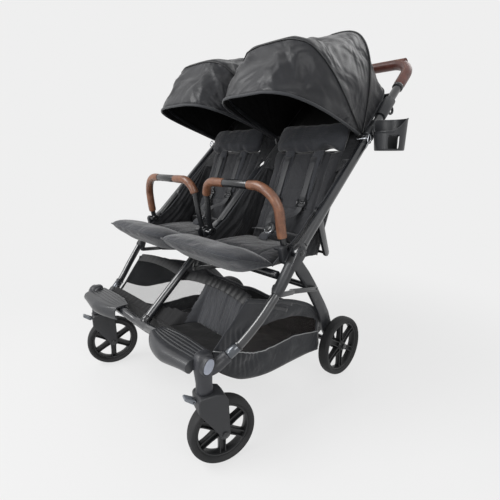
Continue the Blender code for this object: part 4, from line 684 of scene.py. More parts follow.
def makeWheel(label, radius, hubHalf, hubRadius, matrix, body):
    half, seatRadius = chassis["treadHalf"], radius - chassis["tyreDepth"]
    # foamed tyre with a round shoulder and a flat tread, cut by fine grooves
    crown = [(seatRadius - 0.0004, -0.62 * half), (seatRadius + 0.0030, -0.84 * half),
             (seatRadius + 0.0085, -0.99 * half), (radius - 0.0040, -0.93 * half),
             (radius - 0.0010, -0.62 * half), (radius, -0.30 * half)]
    grooved = []
    for r, x in outlineCurve(crown + [(r, -x) for r, x in reversed(crown)], 4):
        if r > radius - 0.0022:
            r -= chassis["grooveDepth"] * max(0.0, cos(2 * pi * x / chassis["groovePitch"])) ** 6
        grooved.append((r, x))
    part = placed(turnedAround(grooved, 120), matrix)
    tyre = makePiece("tyre_" + label, part, finish["tyre"], "tyre", body)
    # rim: flanged band, hub and six spokes of two ribs with a web between them
    edge = seatRadius - 0.0002
    lip = [(edge, 0.0116), (edge - 0.0022, 0.0122), (edge - 0.0040, 0.0112), (edge - 0.0052, 0.0080),
           (edge - 0.0064, 0.0030)]
    boss = [(0.0053, hubHalf), (hubRadius * 0.62, hubHalf), (hubRadius * 0.80, hubHalf - 0.0012),
            (hubRadius * 0.86, hubHalf * 0.70), (hubRadius, hubHalf * 0.55)]
    parts = [turnedAround([(edge, -0.0116)] + lip + [(r, -x) for r, x in reversed(lip[1:])], 120),
             turnedAround([(r, -x) for r, x in boss] + boss[::-1], 48)]
    rib = [(-0.0012, -1.0), (0.0012, -1.0), (0.0017, -0.9), (0.0017, 0.9), (0.0012, 1.0), (-0.0012, 1.0),
           (-0.0017, 0.9), (-0.0017, -0.9)]
    deep = [hubHalf * 0.62, hubHalf * 0.60, 0.0080, 0.0074, 0.0072, 0.0080, 0.0092]
    web = [(-0.0070, -0.0016), (0.0070, -0.0016), (0.0070, 0.0016), (-0.0070, 0.0016)]
    first, last = hubRadius * 0.72, edge - 0.0046
    for spoke in range(chassis["spokes"]):
        angle = 2 * pi * spoke / chassis["spokes"] + pi / 6
        out = Vector((0.0, cos(angle), sin(angle)))
        across = Vector((0.0, -sin(angle), cos(angle)))
        for way in (-1, 1):
            line = [out * (first + (last - first) * t)
                    + across * way * (0.0058 + 0.0022 * (1 - t) ** 2 + 0.0014 * t ** 3)
                    for t in (0.0, 0.12, 0.3, 0.55, 0.8, 0.93, 1.0)]
            parts.append(sweep(line, rib, up=(1, 0, 0), scale=[(1.0, size) for size in deep]))
        line = [out * (first + (last - first) * t) for t in (0.0, 0.3, 0.6, 1.0)]
        parts.append(sweep(line, web, up=(1, 0, 0), scale=[1.0, 0.95, 0.95, 1.05]))
    part = placed(joined(*parts), matrix)
    rim = makePiece("rim_" + label, part, finish["rim"], "black_plastic", body, sharp=38)
    node, which = label.split("_")
    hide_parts(f"{node}_tyre_{which}")
    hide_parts(f"{node}_rim_{which}")


# half outline of the domed push-on caps of the axles
axleCap = [(0.0006, 0.0), (0.0090, 0.0), (0.0096, 0.0012), (0.0092, 0.0034), (0.0070, 0.0048), (0.0038, 0.0054),
           (0.0006, 0.0055)]

for name, side in sides:
    turn = Matrix.Rotation(-chassis["casterTurn"], 4, "Z")
    caster = Matrix.Translation((side * chassis["casterX"], chassis["casterY"], 0.0)) @ turn
    hub = caster @ Matrix.Translation((0.0, chassis["trail"], chassis["frontRadius"]))
    makeWheel("front_" + name, chassis["frontRadius"], 0.0148, 0.0145, hub, "front_wheel_" + name)
    hub = Matrix.Translation((side * chassis["rearX"], chassis["rearY"], chassis["rearRadius"]))
    makeWheel("rear_" + name, chassis["rearRadius"], 0.0158, 0.0168, hub, "rear_wheel_" + name)
    place = Matrix.Translation((side * (chassis["rearX"] + 0.0166), chassis["rearY"], chassis["rearRadius"]))
    part = placed(turnedAround(axleCap, 32), place @ Matrix.Scale(side, 4, (1, 0, 0)))
    makePiece("axle_cap_" + name, part, finish["gloss"], "black_plastic", "rear_frame", sharp=40)
    parts = []
    for way in (-1, 1):
        place = caster @ Matrix.Translation((way * 0.0268, chassis["trail"], chassis["frontRadius"]))
        smaller = turnedAround([(r * 0.78, x * 0.75) for r, x in axleCap], 28)
        parts.append(placed(smaller, place @ Matrix.Scale(way, 4, (1, 0, 0))))
    makePiece("fork_bolts_" + name, joined(*parts), finish["gloss"], "black_plastic", "caster_" + name, sharp=40)

print("wheels ready")


# ring of points between an ellipse (power 2) and a rounded rectangle
def superRing(centre, right, up, halfRight, halfUp, power, count=32):
    ring = []
    for step in range(count):
        angle = 2 * pi * step / count
        c, s = cos(angle), sin(angle)
        ring.append(centre + right * halfRight * abs(c) ** (2 / power) * (1 if c >= 0 else -1)
                    + up * halfUp * abs(s) ** (2 / power) * (1 if s >= 0 else -1))
    return ring


# closed skin through rings of the same number of points
def loft(rings):
    count = len(rings[0])
    points = [point for ring in rings for point in ring]
    faces = [tuple(range(count))[::-1]]
    for index in range(len(rings) - 1):
        for step in range(count):
            after = (step + 1) % count
            faces.append((index * count + step, index * count + after, (index + 1) * count + after,
                          (index + 1) * count + step))
    faces.append(tuple(range((len(rings) - 1) * count, len(rings) * count)))
    return points, faces


def mirrored(side, point):
    return Vector((side * point[0], point[1], point[2]))


# the left lower tube runs from its socket on the caster head through its bend up to the pivot
socketEnd = Vector((0.3136, -0.2338, 0.2566))
lowerBend = Vector((0.327, -0.202, 0.282))
lowerTubeEnd = Vector((0.354, -0.1132, 0.3850))


casterHead = {
    # height, half width, half depth and shift back of the leg's sections
    "leg": ((0.1890, 0.0168, 0.0188, 0.0), (0.1902, 0.0176, 0.0196, 0.0), (0.1985, 0.0180, 0.0200, 0.0),
            (0.2015, 0.0172, 0.0193, 0.0), (0.2120, 0.0168, 0.0190, -0.0004), (0.2250, 0.0174, 0.0200, -0.0010),
            (0.2400, 0.0182, 0.0215, -0.0015), (0.2520, 0.0190, 0.0230, -0.0020),
            (0.2640, 0.0190, 0.0228, -0.0018), (0.2740, 0.0182, 0.0220, -0.0010),
            (0.2810, 0.0158, 0.0196, -0.0005), (0.2850, 0.0120, 0.0152, 0.0), (0.2862, 0.0070, 0.0092, 0.0)),
    # place along X and scale of the barrel's sections, and of the bare oval plate in its end
    "barrel": ((-0.0210, 0.84), (-0.0203, 0.90), (-0.0170, 0.98), (-0.010, 1.0), (0.0215, 1.0), (0.0244, 0.99),
               (0.0258, 0.955), (0.0262, 0.91), (0.0257, 0.875), (0.0246, 0.865)),
    "plate": ((0.0238, 1.0), (0.0256, 1.0), (0.0264, 0.985), (0.0270, 0.94), (0.0276, 0.80), (0.0279, 0.55),
              (0.0280, 0.20)),
    "barrelWide": 0.0152, "barrelTall": 0.0217, "lean": radians(-28), "socket": 0.0152,
}


# moulded leg over the caster, the barrel that the crossbar enters and the socket of the lower tube
def makeCasterHead(name, side):
    x, y = chassis["casterX"], chassis["casterY"]
    leg = [superRing(Vector((side * x, y + shift, z)), Vector((1, 0, 0)), Vector((0, 1, 0)), halfX, halfY, 2.3)
           for z, halfX, halfY, shift in casterHead["leg"]]
    lean = casterHead["lean"]
    wideWay = Vector((0.0, cos(lean), sin(lean)))
    tallWay = Vector((0.0, -sin(lean), cos(lean)))

    def ovals(sections, wide, tall):
        return loft([superRing(Vector((side * (x + along), y - 0.004, 0.262)), wideWay, tallWay, wide * scale,
                               tall * scale, 2.15) for along, scale in sections])

    barrel = ovals(casterHead["barrel"], casterHead["barrelWide"], casterHead["barrelTall"])
    reach = (lowerBend - socketEnd).normalized()
    path = smoothLine([mirrored(side, p) for p in ((0.3045, -0.290, 0.236), (0.3062, -0.266, 0.2375),
                                                   socketEnd - reach * 0.014, socketEnd)], 6)
    sizes = [1.0] * (len(path) - 2) + [0.99, 0.93]
    socket = sweep(path, circle(casterHead["socket"], 28), up=(1, 0, 0), scale=sizes)
    head = makePiece("caster_leg_" + name, joined(loft(leg), barrel, socket), finish["leg"], "black_plastic",
                     "front_frame", sharp=46)
    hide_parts("caster_head_" + name)
    plate = ovals(casterHead["plate"], chassis["capWide"], chassis["capTall"])
    makePiece("barrel_cap_" + name, plate, finish["greyPlastic"], "grey_plastic", "front_frame", sharp=50)
    # anodised socket sleeve and its black clamp ring
    direction = mirrored(side, reach)
    start = mirrored(side, socketEnd)
    for label, radius, ends, small, look, slot in (
            ("sleeve", 0.0128, (0.0004, 0.0012, 0.0300, 0.0308), 0.95, "anodised", "black_metal"),
            ("ring", 0.0134, (0.0309, 0.0314, 0.0350, 0.0355), 0.94, "gloss", "black_plastic")):
        part = sweep([start + direction * t for t in ends], circle(radius, 28), up=(1, 0, 0),
                     scale=[small, 1.0, 1.0, small])
        makePiece(f"socket_{label}_{name}", part, finish[look], slot, "front_frame", sharp=50)


footrest = {
    "inner": 0.104, "outer": 0.2990, "top": 0.2742, "rear": 0.031, "nose": -0.035, "noseRadius": 0.02035,
    "grooves": 5, "groovePitch": 0.0112, "grooveHalf": 0.0026, "grooveDepth": 0.0017,
    "stations": 34, "steps": 44,
}


# moulded tread: a shell with a glossy round nose, five grooves and a tapered inner end
def makeFootrest(name, side):
    y0, top = chassis["casterY"], footrest["top"]
    rear, noseY, noseR = y0 + footrest["rear"], y0 + footrest["nose"], footrest["noseRadius"]
    noseZ = top - noseR
    steps = footrest["steps"]
    rings = []
    for index in range(footrest["stations"] + 1):
        share = (index / footrest["stations"]) ** 1.3
        x = footrest["inner"] + (footrest["outer"] - footrest["inner"]) * share
        scale = 0.50 + 0.52 * (1 - (1 - min(1.0, share / 0.62)) ** 2.4) - 0.20 * max(0.0, share - 0.50) / 0.50
        ring = []
        for step in range(steps + 1):
            y = rear - 0.0010 - (rear - 0.0010 - noseY) * step / steps
            centres = [rear - 0.0095 - number * footrest["groovePitch"] for number in range(footrest["grooves"])]
            groove = max(max(0.0, 1 - abs(y - centre) / footrest["grooveHalf"]) for centre in centres)
            worn = min(1.0, groove * 1.5) * min(1.0, share * 7, (1.0 - share) * 14)
            ring.append((y, top + 0.0008 * sin(pi * step / steps) - footrest["grooveDepth"] * worn))
        for step in range(1, 17):
            angle = radians(90 + 165 * step / 16)
            ring.append((noseY + noseR * cos(angle), noseZ + noseR * sin(angle)))
        # the hollow nose is closed by a web towards its outer end
        web = smoothStep((share - 0.86) / 0.05)
        for step in range(9):
            angle = radians(255 - 165 * step / 8)
            y, z = noseY + (noseR - 0.004) * cos(angle), noseZ + (noseR - 0.004) * sin(angle)
            shutY, shutZ = noseY - 0.004 + 0.036 * step / 8, noseZ - noseR * 0.93 + 0.020 * step / 8
            ring.append((y + (shutY - y) * web, z + (shutZ - z) * web))
        ring += [(rear - 0.004, top - 0.004), (rear - 0.004, top - 0.0115), (rear, top - 0.0115),
                 (rear, top - 0.0012)]
        flat = 1 - 0.24 * smoothStep((share - 0.45) / 0.5)
        rings.append([Vector((side * x, y0 + (y - y0) * scale, top + (z - top) * flat)) for y, z in ring])
    tread = makePiece("footrest_tread_" + name, loft(rings), finish["tread"], "black_plastic", "front_frame",
                      sharp=40)
    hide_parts("footrest_" + name)


for name, side in sides:
    makeCasterHead(name, side)
    makeFootrest(name, side)


def tubePiece(name, path, radius, body, slot="black_metal", material="paint", count=28, up=(1, 0, 0), scale=None):
    part = sweep(path, circle(radius, count), up=up, scale=scale)
    return makePiece(name, part, finish[material], slot, body, sharp=50)


pivot = Vector((0.0, frameLine["pivotY"], frameLine["pivotZ"]))
for name, side in sides:
    direction = (lowerBend - socketEnd).normalized()
    sleeveWay = (pivot + Vector((0.354, 0.0, 0.0)) - lowerTubeEnd).normalized()
    bowed = [socketEnd + direction * 0.006, lowerBend, Vector((0.344, -0.158, 0.331)),
             lowerTubeEnd - sleeveWay * 0.006]
    path = [socketEnd + direction * 0.0005] + smoothLine(bowed, 8) + [lowerTubeEnd - sleeveWay * 0.0005]
    lower = tubePiece("lower_tube_skin_" + name, [mirrored(side, p) for p in path], chassis["lowerTube"],
                      "front_frame")
    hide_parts("lower_tube_" + name)
# the crossbar dips where the centre tube stands on it: x, how far back and how high over its ends
dipped = ((0.2848, 0.0, 0.0), (0.16, 0.0, 0.0), (0.10, 0.0005, -0.0004), (0.065, 0.0040, -0.0055),
          (0.035, 0.0078, -0.0107), (0.012, 0.0080, -0.0110))
path = [Vector((x, chassis["casterY"] + back, 0.257 + up)) for x, back, up in dipped]
path = smoothLine(path + [mirrored(-1, p) for p in reversed(path)], 5)
crossbar = tubePiece("crossbar_skin", path, chassis["crossbar"], "front_frame", up=(0, 0, 1))
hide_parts("front_crossbar")

centreFoot = Vector((0.0, -0.290, 0.246))
centreWay = (pivot - centreFoot).normalized()
tubePiece("centre_tube_skin", [centreFoot + centreWay * 0.0128, pivot - centreWay * 0.0345], chassis["centreTube"],
          "front_frame")


# straight tube across the stroller, half metres long each way
def acrossTube(name, half, y, z, radius, body):
    return tubePiece(name, [Vector((-half, y, z)), Vector((half, y, z))], radius, body, up=(0, 0, 1))


railPoint = centreFoot + centreWay * 0.270
acrossTube("seat_rail_skin", 0.3230, railPoint.y, railPoint.z, chassis["rail"], "front_frame")
# collar where the centre tube stands on the crossbar
foot = [centreFoot + centreWay * t for t in (0.006, 0.0075, 0.026, 0.0275)]
tubePiece("centre_foot_collar", foot, 0.0142, "front_frame", slot="black_plastic", material="gloss",
          scale=[0.92, 1.0, 1.0, 0.93])
rearCross = acrossTube("rear_cross_skin", 0.2982, 0.078, 0.347, chassis["crossTube"], "rear_frame")
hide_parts("rear_cross_tube")
acrossTube("rear_axle_skin", 0.2557, chassis["rearY"], chassis["rearRadius"], 0.0087, "rear_frame")

grip = frameLine["gripFrom"]
for name, side in sides:
    x = side * frameLine["tubeX"]
    line = [onFrame(t, x) for t in (0.0265, 0.20, 0.40, grip - 0.012)]
    tubePiece("handle_tube_skin_" + name, line, frameLine["tubeRadius"] + 0.0002, "upper_frame")
    line = [onFrame(t, x) for t in (grip - 0.0122, grip - 0.0110, grip - 0.0012, grip - 0.0001)]
    tubePiece("grip_collar_" + name, line, 0.0168, "upper_frame", slot="black_plastic", material="gloss",
              scale=[0.93, 1.0, 1.0, 0.93])

crossAlong = 0.592 + 0.023
crossEnd = frameLine["tubeX"] - frameLine["tubeRadius"] - 0.0003
line = [onFrame(crossAlong, x, below) for x, below in ((crossEnd, 0.0), (crossEnd - 0.012, 0.0),
                                                       (crossEnd - 0.050, 0.028), (0.10, 0.030))]
line += [mirrored(-1, p) for p in reversed(line)]
tubePiece("back_cross_skin", line, 0.0092, "upper_frame", up=(0, 1, 0), count=20)
line = smoothLine([onFrame(0.026, 0.0), onFrame(0.10, 0.0), onFrame(0.24, 0.0, 0.002), onFrame(0.36, 0.0, 0.030),
                   onFrame(0.47, 0.0, 0.044), onFrame(crossAlong, 0.0, 0.030)], 6)
tubePiece("back_upright_skin", line, 0.0113, "upper_frame")

# these keep the solids' own shapes, with their edges rounded

for node in (["centre_frame", "rear_axle", "handle_frame", "back_frame"]
             + [f"brace_{end}_{where}" for end in ("front", "rear") for where in ("left", "right", "centre")]):
    refined(node, finish["paint"], 0.0008, "black_metal")


def pair(kind):
    return [f"{kind}_{name}" for name, side in sides]


moulded = pair("pivot_housing") + pair("rear_leg") + ["brake_pedal"] + pair("fold_trigger") + pair("front_bow")
for group, look, edge, slot in ((moulded, "plastic", 0.0012, "black_plastic"),
                                (pair("fork"), "fork", 0.0020, "black_plastic"),
                                (pair("swivel_lock"), "lockPlastic", 0.0010, "grey_plastic")):
    for node in group:
        refined(node, finish[look], edge, slot)

# pivot rivets on the outer cheeks
rivet = [(0.0006, 0.0), (0.0078, 0.0), (0.0080, 0.0008), (0.0066, 0.0020), (0.0030, 0.0027), (0.0006, 0.0028)]
for name, side in sides:
    place = Matrix.Translation((side * 0.3695, pivot.y, pivot.z)) @ Matrix.Scale(side, 4, (1, 0, 0))
    makePiece("pivot_rivet_" + name, placed(turnedAround(rivet, 28), place), finish["gloss"], "black_metal",
              "front_frame", sharp=45)

print("frame dressed")


cup = {
    "centre": (0.4185, 0.28455, 0.7330), "height": 0.090, "topRadius": 0.047, "bottomRadius": 0.041, "wall": 0.0026,
    "dip": 0.036,                # how far the rim drops on its front side
    "windows": ((-46, 24), (66, 20), (176, 22)),     # heading and half width in degrees
    "windowLow": 0.0045, "windowHigh": 0.0430,
    "clampFrom": 0.425, "clampTo": 0.459, "clampRadius": 0.0171,
}


# rim height over the cup's floor at a heading in degrees
def cupRim(heading):
    turn = (heading + 98 + 180) % 360 - 180
    low = 1 - smoothStep((turn - 38) / 84) if turn > 0 else 1 - smoothStep((-turn - 34) / 46)
    return cup["height"] - cup["dip"] * low


def cupWall(height):
    return cup["bottomRadius"] + (cup["topRadius"] - cup["bottomRadius"]) * height / cup["height"]


def makeCup():
    centre = Vector(cup["centre"])
    steps, columns = 14, []
    for step in range(96):
        heading = 360 * step / 96
        top = cupRim(heading)
        out = Vector((cos(radians(heading)), sin(radians(heading)), 0.0))
        foot, lip = cupWall(0), cupWall(top)
        line = [(foot - 0.0030, 0.0), (foot - 0.0006, 0.0008), (foot, 0.0030)]
        line += [(cupWall(h), h) for h in [0.0040 + (top - 0.0085) * k / steps for k in range(steps + 1)]]
        line += [(lip + 0.0007, top - 0.0034), (lip + 0.0009, top - 0.0016), (lip + 0.0004, top - 0.0002),
                 (lip - 0.0014, top + 0.0002), (lip - 0.0029, top - 0.0006), (lip - 0.0031, top - 0.0026)]
        line += [(cupWall(h) - cup["wall"], h)
                 for h in [0.0045 + (top - 0.0090) * k / steps for k in range(steps, -1, -1)]]
        line += [(foot - 0.0055, 0.0030)]
        columns.append([centre + out * r + Vector((0.0, 0.0, h)) for r, h in line])
    rings = [[column[index] for column in columns] for index in range(len(columns[0]))]
    shell = makePiece("cup_shell", loft(rings), finish["plastic"], "black_plastic")
    low, high = cup["windowLow"], cup["windowHigh"]
    for heading, half in cup["windows"]:
        out = Vector((cos(radians(heading)), sin(radians(heading)), 0.0))
        along = Vector((-out.y, out.x, 0.0))
        middle = centre + Vector((0.0, 0.0, (low + high) / 2))
        wide = sin(radians(half))
        part = loft([superRing(middle + out * reach, along, Vector((0, 0, 1)), wide * reach, (high - low) / 2, 7)
                     for reach in (0.028, 0.060)])
        cutter = makePiece("cup_window", part, finish["plastic"])
        opening = shell.modifiers.new("window", "BOOLEAN")
        opening.operation = "DIFFERENCE"
        opening.solver = "EXACT"
        opening.object = cutter
        baked(shell)
        bpy.data.objects.remove(cutter)
    rounded(shell, 0.0007, 50)
    shell.data.shade_smooth()
    shell.data.set_sharp_from_angle(angle=radians(40))
    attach(shell, "upper_frame")
    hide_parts("cup_holder")
    # clamp round the handle tube with its arm and screw
    first, last = cup["clampFrom"], cup["clampTo"]
    middle = onFrame((first + last) / 2, frameLine["tubeX"])
    line = [onFrame(t, frameLine["tubeX"]) for t in (first, first + 0.0015, last - 0.0015, last)]
    ring = sweep(line, circle(cup["clampRadius"], 32), up=(1, 0, 0), scale=[0.92, 1.0, 1.0, 0.92])
    waisted = ((0.369, 0.0125, 0.0135), (0.3725, 0.0110, 0.0120), (0.3760, 0.0105, 0.0115), (0.3780, 0.0120, 0.0130))
    arm = loft([superRing(Vector((x, middle.y, middle.z)), Vector((0, 1, 0)), Vector((0, 0, 1)), wide, tall, 4, 28)
                for x, wide, tall in waisted])
    place = Matrix.Translation(middle + Vector((-0.0168, 0.0, 0.0))) @ Matrix.Scale(-1, 4, (1, 0, 0))
    head = [(0.0006, 0.0), (0.0052, 0.0), (0.0052, 0.0020), (0.0044, 0.0028), (0.0006, 0.0028)]
    screw = placed(turnedAround(head, 24), place)
    makePiece("cup_clamp", joined(ring, arm, screw), finish["plastic"], "black_plastic", "upper_frame", sharp=42)


makeCup()
print("cup holder ready")


basket = {
    "half": 0.285, "taper": 0.004,
    # side view, (y, z), of the rim, of the net window's upper and lower edge, and of the floor
    "rim": ((-0.148, 0.360), (-0.100, 0.345), (-0.052, 0.330), (0.000, 0.3180), (0.057, 0.298), (0.118, 0.268),
            (0.174, 0.222)),
    "netTop": ((-0.207, 0.309), (-0.170, 0.290), (-0.130, 0.276), (-0.075, 0.272), (-0.015, 0.268), (0.070, 0.250),
               (0.174, 0.205)),
    "netLow": ((-0.254, 0.262), (-0.200, 0.240), (-0.155, 0.222), (-0.098, 0.197), (-0.036, 0.191), (0.060, 0.190),
               (0.174, 0.166)),
    "floor": ((-0.249, 0.214), (-0.190, 0.163), (-0.139, 0.137), (-0.061, 0.119), (0.035, 0.114), (0.110, 0.110),
              (0.174, 0.102)),
    "rows": (9, 12, 10),         # of the wall's grid, in each of its three strips
    "columns": 72, "frontColumns": 240,
    "lean": 0.010,               # how far the walls draw in towards the floor
    "slack": {"left": 0.0, "right": 0.026},      # the right wall's seams hang lower
    "netEnd": 0.160,
    "netFrom": -0.172,           # the near net starts behind the front tube at this y, further back higher up
    "gathers": 25,
    "foldKeep": 0.60,            # share of its depth the basket keeps when the frame is folded
}


def wallX(y, z):
    drawn = basket["lean"] * smoothStep((0.335 - z) / 0.17)
    return basket["half"] - basket["taper"] * (y + 0.15) / 0.29 - drawn


# cloth gets its real thickness, and a second material inside where it is lined
def thickened(piece, thick, offset=0.0, lined=False):
    wall = piece.modifiers.new("cloth", "SOLIDIFY")
    wall.thickness = thick
    wall.offset = offset
    if lined:
        wall.material_offset = 1
        wall.material_offset_rim = 0
    baked(piece)
    piece.data.shade_smooth()


# goes over a grid's rows, columns and cells, and keeps nothing
def declareSheet(piece, rows, held, restsOn, **more):
    for lines in (rows, list(zip(*rows))):
        max(sum((b - a).length for a, b in zip(line, line[1:])) for line in lines)
    for here, there in zip(rows, rows[1:]):
        for a, b, c, d in zip(here, here[1:], there[1:], there):
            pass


# gives a piece of the basket's cloth a mesh of its own
def crumpled(piece):
    at((0, -0.12, 0.22))
    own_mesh(piece)


# cloth of one or more materials, chosen for each row and column
def basketCloth(name, rows, materials, choose, thick, held, restsOn):
    *part, uv = grid(rows)
    piece = makePiece(name, part, finish[materials[0]], "basket_fabric", uv=uv)
    for material in materials[1:]:
        piece.data.materials.append(finish[material])
    width = len(rows[0]) - 1
    for index, face in enumerate(piece.data.polygons):
        face.material_index = choose(index // width, index % width) if choose else 0
    thickened(piece, thick)
    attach(piece, "front_frame")
    if name != "basket_front":
        crumpled(piece)
    declareSheet(piece, rows, held, restsOn)
    return piece


# bound edge, cord or strap of the basket
def basketTrim(name, line, section, look, slot, up=(0, 0, 1)):
    crumpled(makePiece(name, sweep(line, section, up=up), finish[look], slot, "front_frame"))


def wallRows(name, side):
    lines = [[(p.x, p.y) for p in smoothLine([(y, z, 0) for y, z in basket[key]], 12)]
             for key in ("rim", "netTop", "netLow", "floor")]
    rows = []
    for strip, count in enumerate(basket["rows"]):
        for step in range(count + (1 if strip == 2 else 0)):
            t = step / count
            row = []
            for c in range(basket["columns"] + 1):
                y = lines[strip][c][0] * (1 - t) + lines[strip + 1][c][0] * t
                z = lines[strip][c][1] * (1 - t) + lines[strip + 1][c][1] * t
                z -= basket["slack"][name] * (t, 1.0, 1 - t)[strip]
                loose = sin(pi * min(1.0, (strip + t) / 3)) * sin(pi * c / basket["columns"]) ** 0.5
                fold = noise.noise(Vector((y * 16, z * 30, 3.0 + side))) * 0.010
                fold += noise.noise(Vector((y * 40 + z * 30, z * 14, 8.0 + side))) * 0.004
                if side > 0 and y < -0.05:
                    # pulled-in cloth goes on round the near front corner in upright gathers
                    fold += 0.0055 * (0.5 + 0.5 * sin(380 * y + 14 * z)) * (1 - smoothStep((y + 0.12) / 0.07))
                if strip == 2:
                    # the lower wall is pulled into creases towards the floor's corners
                    fold += 0.0022 * sin(62 * y + 30 * t + side) * t
                row.append(Vector((side * (wallX(y, z) + fold * loose), y, z)))
            rows.append(row)
    return rows


def makeBasketWall(name, side):
    rows = wallRows(name, side)
    first, last = basket["rows"][0], sum(basket["rows"][:2])

    def wallCloth(r, c):
        y = (rows[r][c].y + rows[r][c + 1].y) / 2
        # the near wall's front part takes the gathered cloth, painted lighter as a painted sheen
        if side > 0 and y < basket["netFrom"] + (rows[r][c].z - 0.236) * 1.28:
            return 2
        if not first <= r < last:
            return 0
        up = (r + 0.5 - first) / (last - first)
        # rounded rear corners of the net window
        corner = 0.020 * (1 - (1 - min(1.0, min(up, 1 - up) / 0.35)) ** 2) ** 0.5
        return 1 if y < basket["netEnd"] - 0.020 + corner and c > 1 else 0

    basketCloth("basket_wall_" + name, rows, ("basket", "net", "gathered"), wallCloth, 0.0012, "hung",
                "lower_tube_skin_" + name)
    return rows


# sheer net on an elastic band, gathered into cloth folds on the side where it is pulled together; the gathered side
# is opaque cloth painted lighter, a painted sheen
def makeBasketFront():
    below = Vector((0.0, centreWay.z, -centreWay.y))
    across = basket["frontColumns"]
    rows = []
    for r in range(29):
        t = r / 28
        row = []
        for c in range(across + 1):
            u = 2 * c / across - 1
            top = 0.184 + 0.014 * (1 - (2 * abs(u) - 1) ** 2)
            p = centreFoot + centreWay * (top + (0.036 - top) * t) + below * 0.0125
            half = wallX(p.y, p.z) + 0.0005
            pulled = smoothStep((u - 0.30) / 0.12)
            phase = pi * basket["gathers"] * u + 2.2 * noise.noise(Vector((u * 6, t * 1.3, 2.0)))
            gather = (0.5 + 0.5 * sin(phase)) ** 1.4
            deep = (0.0060 + 0.0050 * noise.noise(Vector((u * 9, 4.0, 1.0)))) * gather
            deep *= (1 - 0.50 * t) * (0.25 + 0.75 * pulled)
            belly = 0.014 * sin(pi * t) * (1 - abs(2 * abs(u) - 1) ** 2)
            # the gathered part hangs down freely instead of following the tube
            hang = 0.62 * pulled * (centreFoot + centreWay * top - p).y * t ** 0.6
            out = deep * min(1.0, 8 * t + 0.25) + belly + 0.002
            row.append(Vector((u * half, p.y + hang, p.z)) + below * out)
        rows.append(row)

    def frontCloth(r, c):
        u = 2 * (c + 0.5) / across - 1
        # the near side is the gathered cloth, a painted sheen; the lowest rows are the dark inside cloth, painted
        # shade; the rest is sheer net
        if u >= 0.365 - 0.02 * sin(pi * r / 28):
            return 2
        return 1 if r > 23 - 5 * smoothStep((u + 0.2) / 0.5) else 0

    basketCloth("basket_front", rows, ("sheerNet", "basketInsideShade", "gathered"), frontCloth, 0.0009, "gathered",
                "centre_tube_skin")
    part = sweep([p + below * 0.0005 for p in rows[0]], band(0.030, 0.0026), up=below)
    makePiece("basket_front_band", part, finish["piping"], "basket_fabric", "front_frame")
    return rows[-1][0]


# foot, floor and rear wall in one length of cloth, the inside cloth painted darker than the walls as painted shade
def makeBasketFloor(front):
    profile = [(front.y, front.z), *basket["floor"][:-1], (0.174, 0.108), (0.174, 0.160), (0.174, 0.222)]
    dense = smoothLine([(y, z, 0) for y, z in profile], 7)
    columns = basket["columns"]
    rows = []
    for index, p in enumerate(dense):
        row = []
        for c in range(columns + 1):
            u = 2 * c / columns - 1
            hang = 0.010 * (1 - u * u) * sin(pi * min(1.0, index / (len(dense) * 0.72)))
            crumple = noise.noise(Vector((u * 5, p.x * 20, p.y * 9))) * 0.006 * (1 - u ** 8)
            row.append(Vector((u * (wallX(p.x, p.y) - 0.0005), p.x, p.y - hang * 0.6 + crumple)))
        rows.append(row)
    floor = basketCloth("basket_floor", rows, ("basketInsideShade",), None, 0.0014, "hung", "centre_frame")
    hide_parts("basket")
    basketTrim("basket_rear_rim", rows[-1], circle(0.0042, 10, 1.5), "binding", "basket_fabric")


walls = [makeBasketWall(name, side) for name, side in sides]
for (name, side), rows in zip(sides, walls):
    # wavy reflective piping along the net's lower edge, and bound rims
    edge = [p + Vector((side * 0.0014, 0.0, 0.0)) for p in rows[sum(basket["rows"][:2])]]
    basketTrim("basket_piping_" + name, edge, circle(0.0013, 8), "reflective", "grey_plastic")
    basketTrim("basket_rim_" + name, rows[0], circle(0.0042, 10, 1.5), "binding", "basket_fabric")
makeBasketFloor(makeBasketFront())
# carrying straps sewn down the walls
for name, side in sides:
    for where, offset in (("front", -0.010), ("rear", 0.010)):
        line = []
        for step in range(13):
            t = step / 12
            y, z = -0.062 + 0.080 * t + offset, 0.331 - 0.036 * t + offset * 0.6
            line.append(Vector((side * (wallX(y, z) + 0.0030), y, z)))
        basketTrim(f"basket_strap_{where}_{name}", line, band(0.0090, 0.0016), "webbing", "webbing", (side, 0, 0))
print("basket ready")


hood = {
    "y": 0.262, "z": 0.7765, "seatX": 0.1735, "half": 0.168,
    # turn, reach and squareness of each sewn-in bow, front to back
    "bows": ((159.8, 0.327, 3.9), (130.3, 0.328, 4.0), (72.9, 0.356, 2.5), (44.8, 0.244, 5.0)),
    "rows": (16, 22, 12), "columns": 132,
    "thick": 0.0022,
    "drawnIn": (0.006, 0.009, 0.010),            # between its bows
    "visor": 0.013,              # how far the front hem hangs below its bow
    "seam": 0.95,                # where the first piping lies, just before its bow
    "hubClear": 0.007,
}


def bowPoint(side, bow, share, inset=0.0):
    turn, reach, square = bow
    angle = pi * share
    across = abs(cos(angle)) ** (2 / square) * (1 if cos(angle) >= 0 else -1)
    out = max(sin(angle), 0.0) ** (2 / square) * (reach - inset)
    out = max(out, hood["hubClear"])
    return Vector((side * (hood["seatX"] + (hood["half"] - inset) * across),
                   hood["y"] + out * cos(radians(turn)), hood["z"] + out * sin(radians(turn))))


# spreads columns evenly along the bow's length
def hoodShare(step, count):
    return 0.5 - 0.5 * cos(pi * step / count)


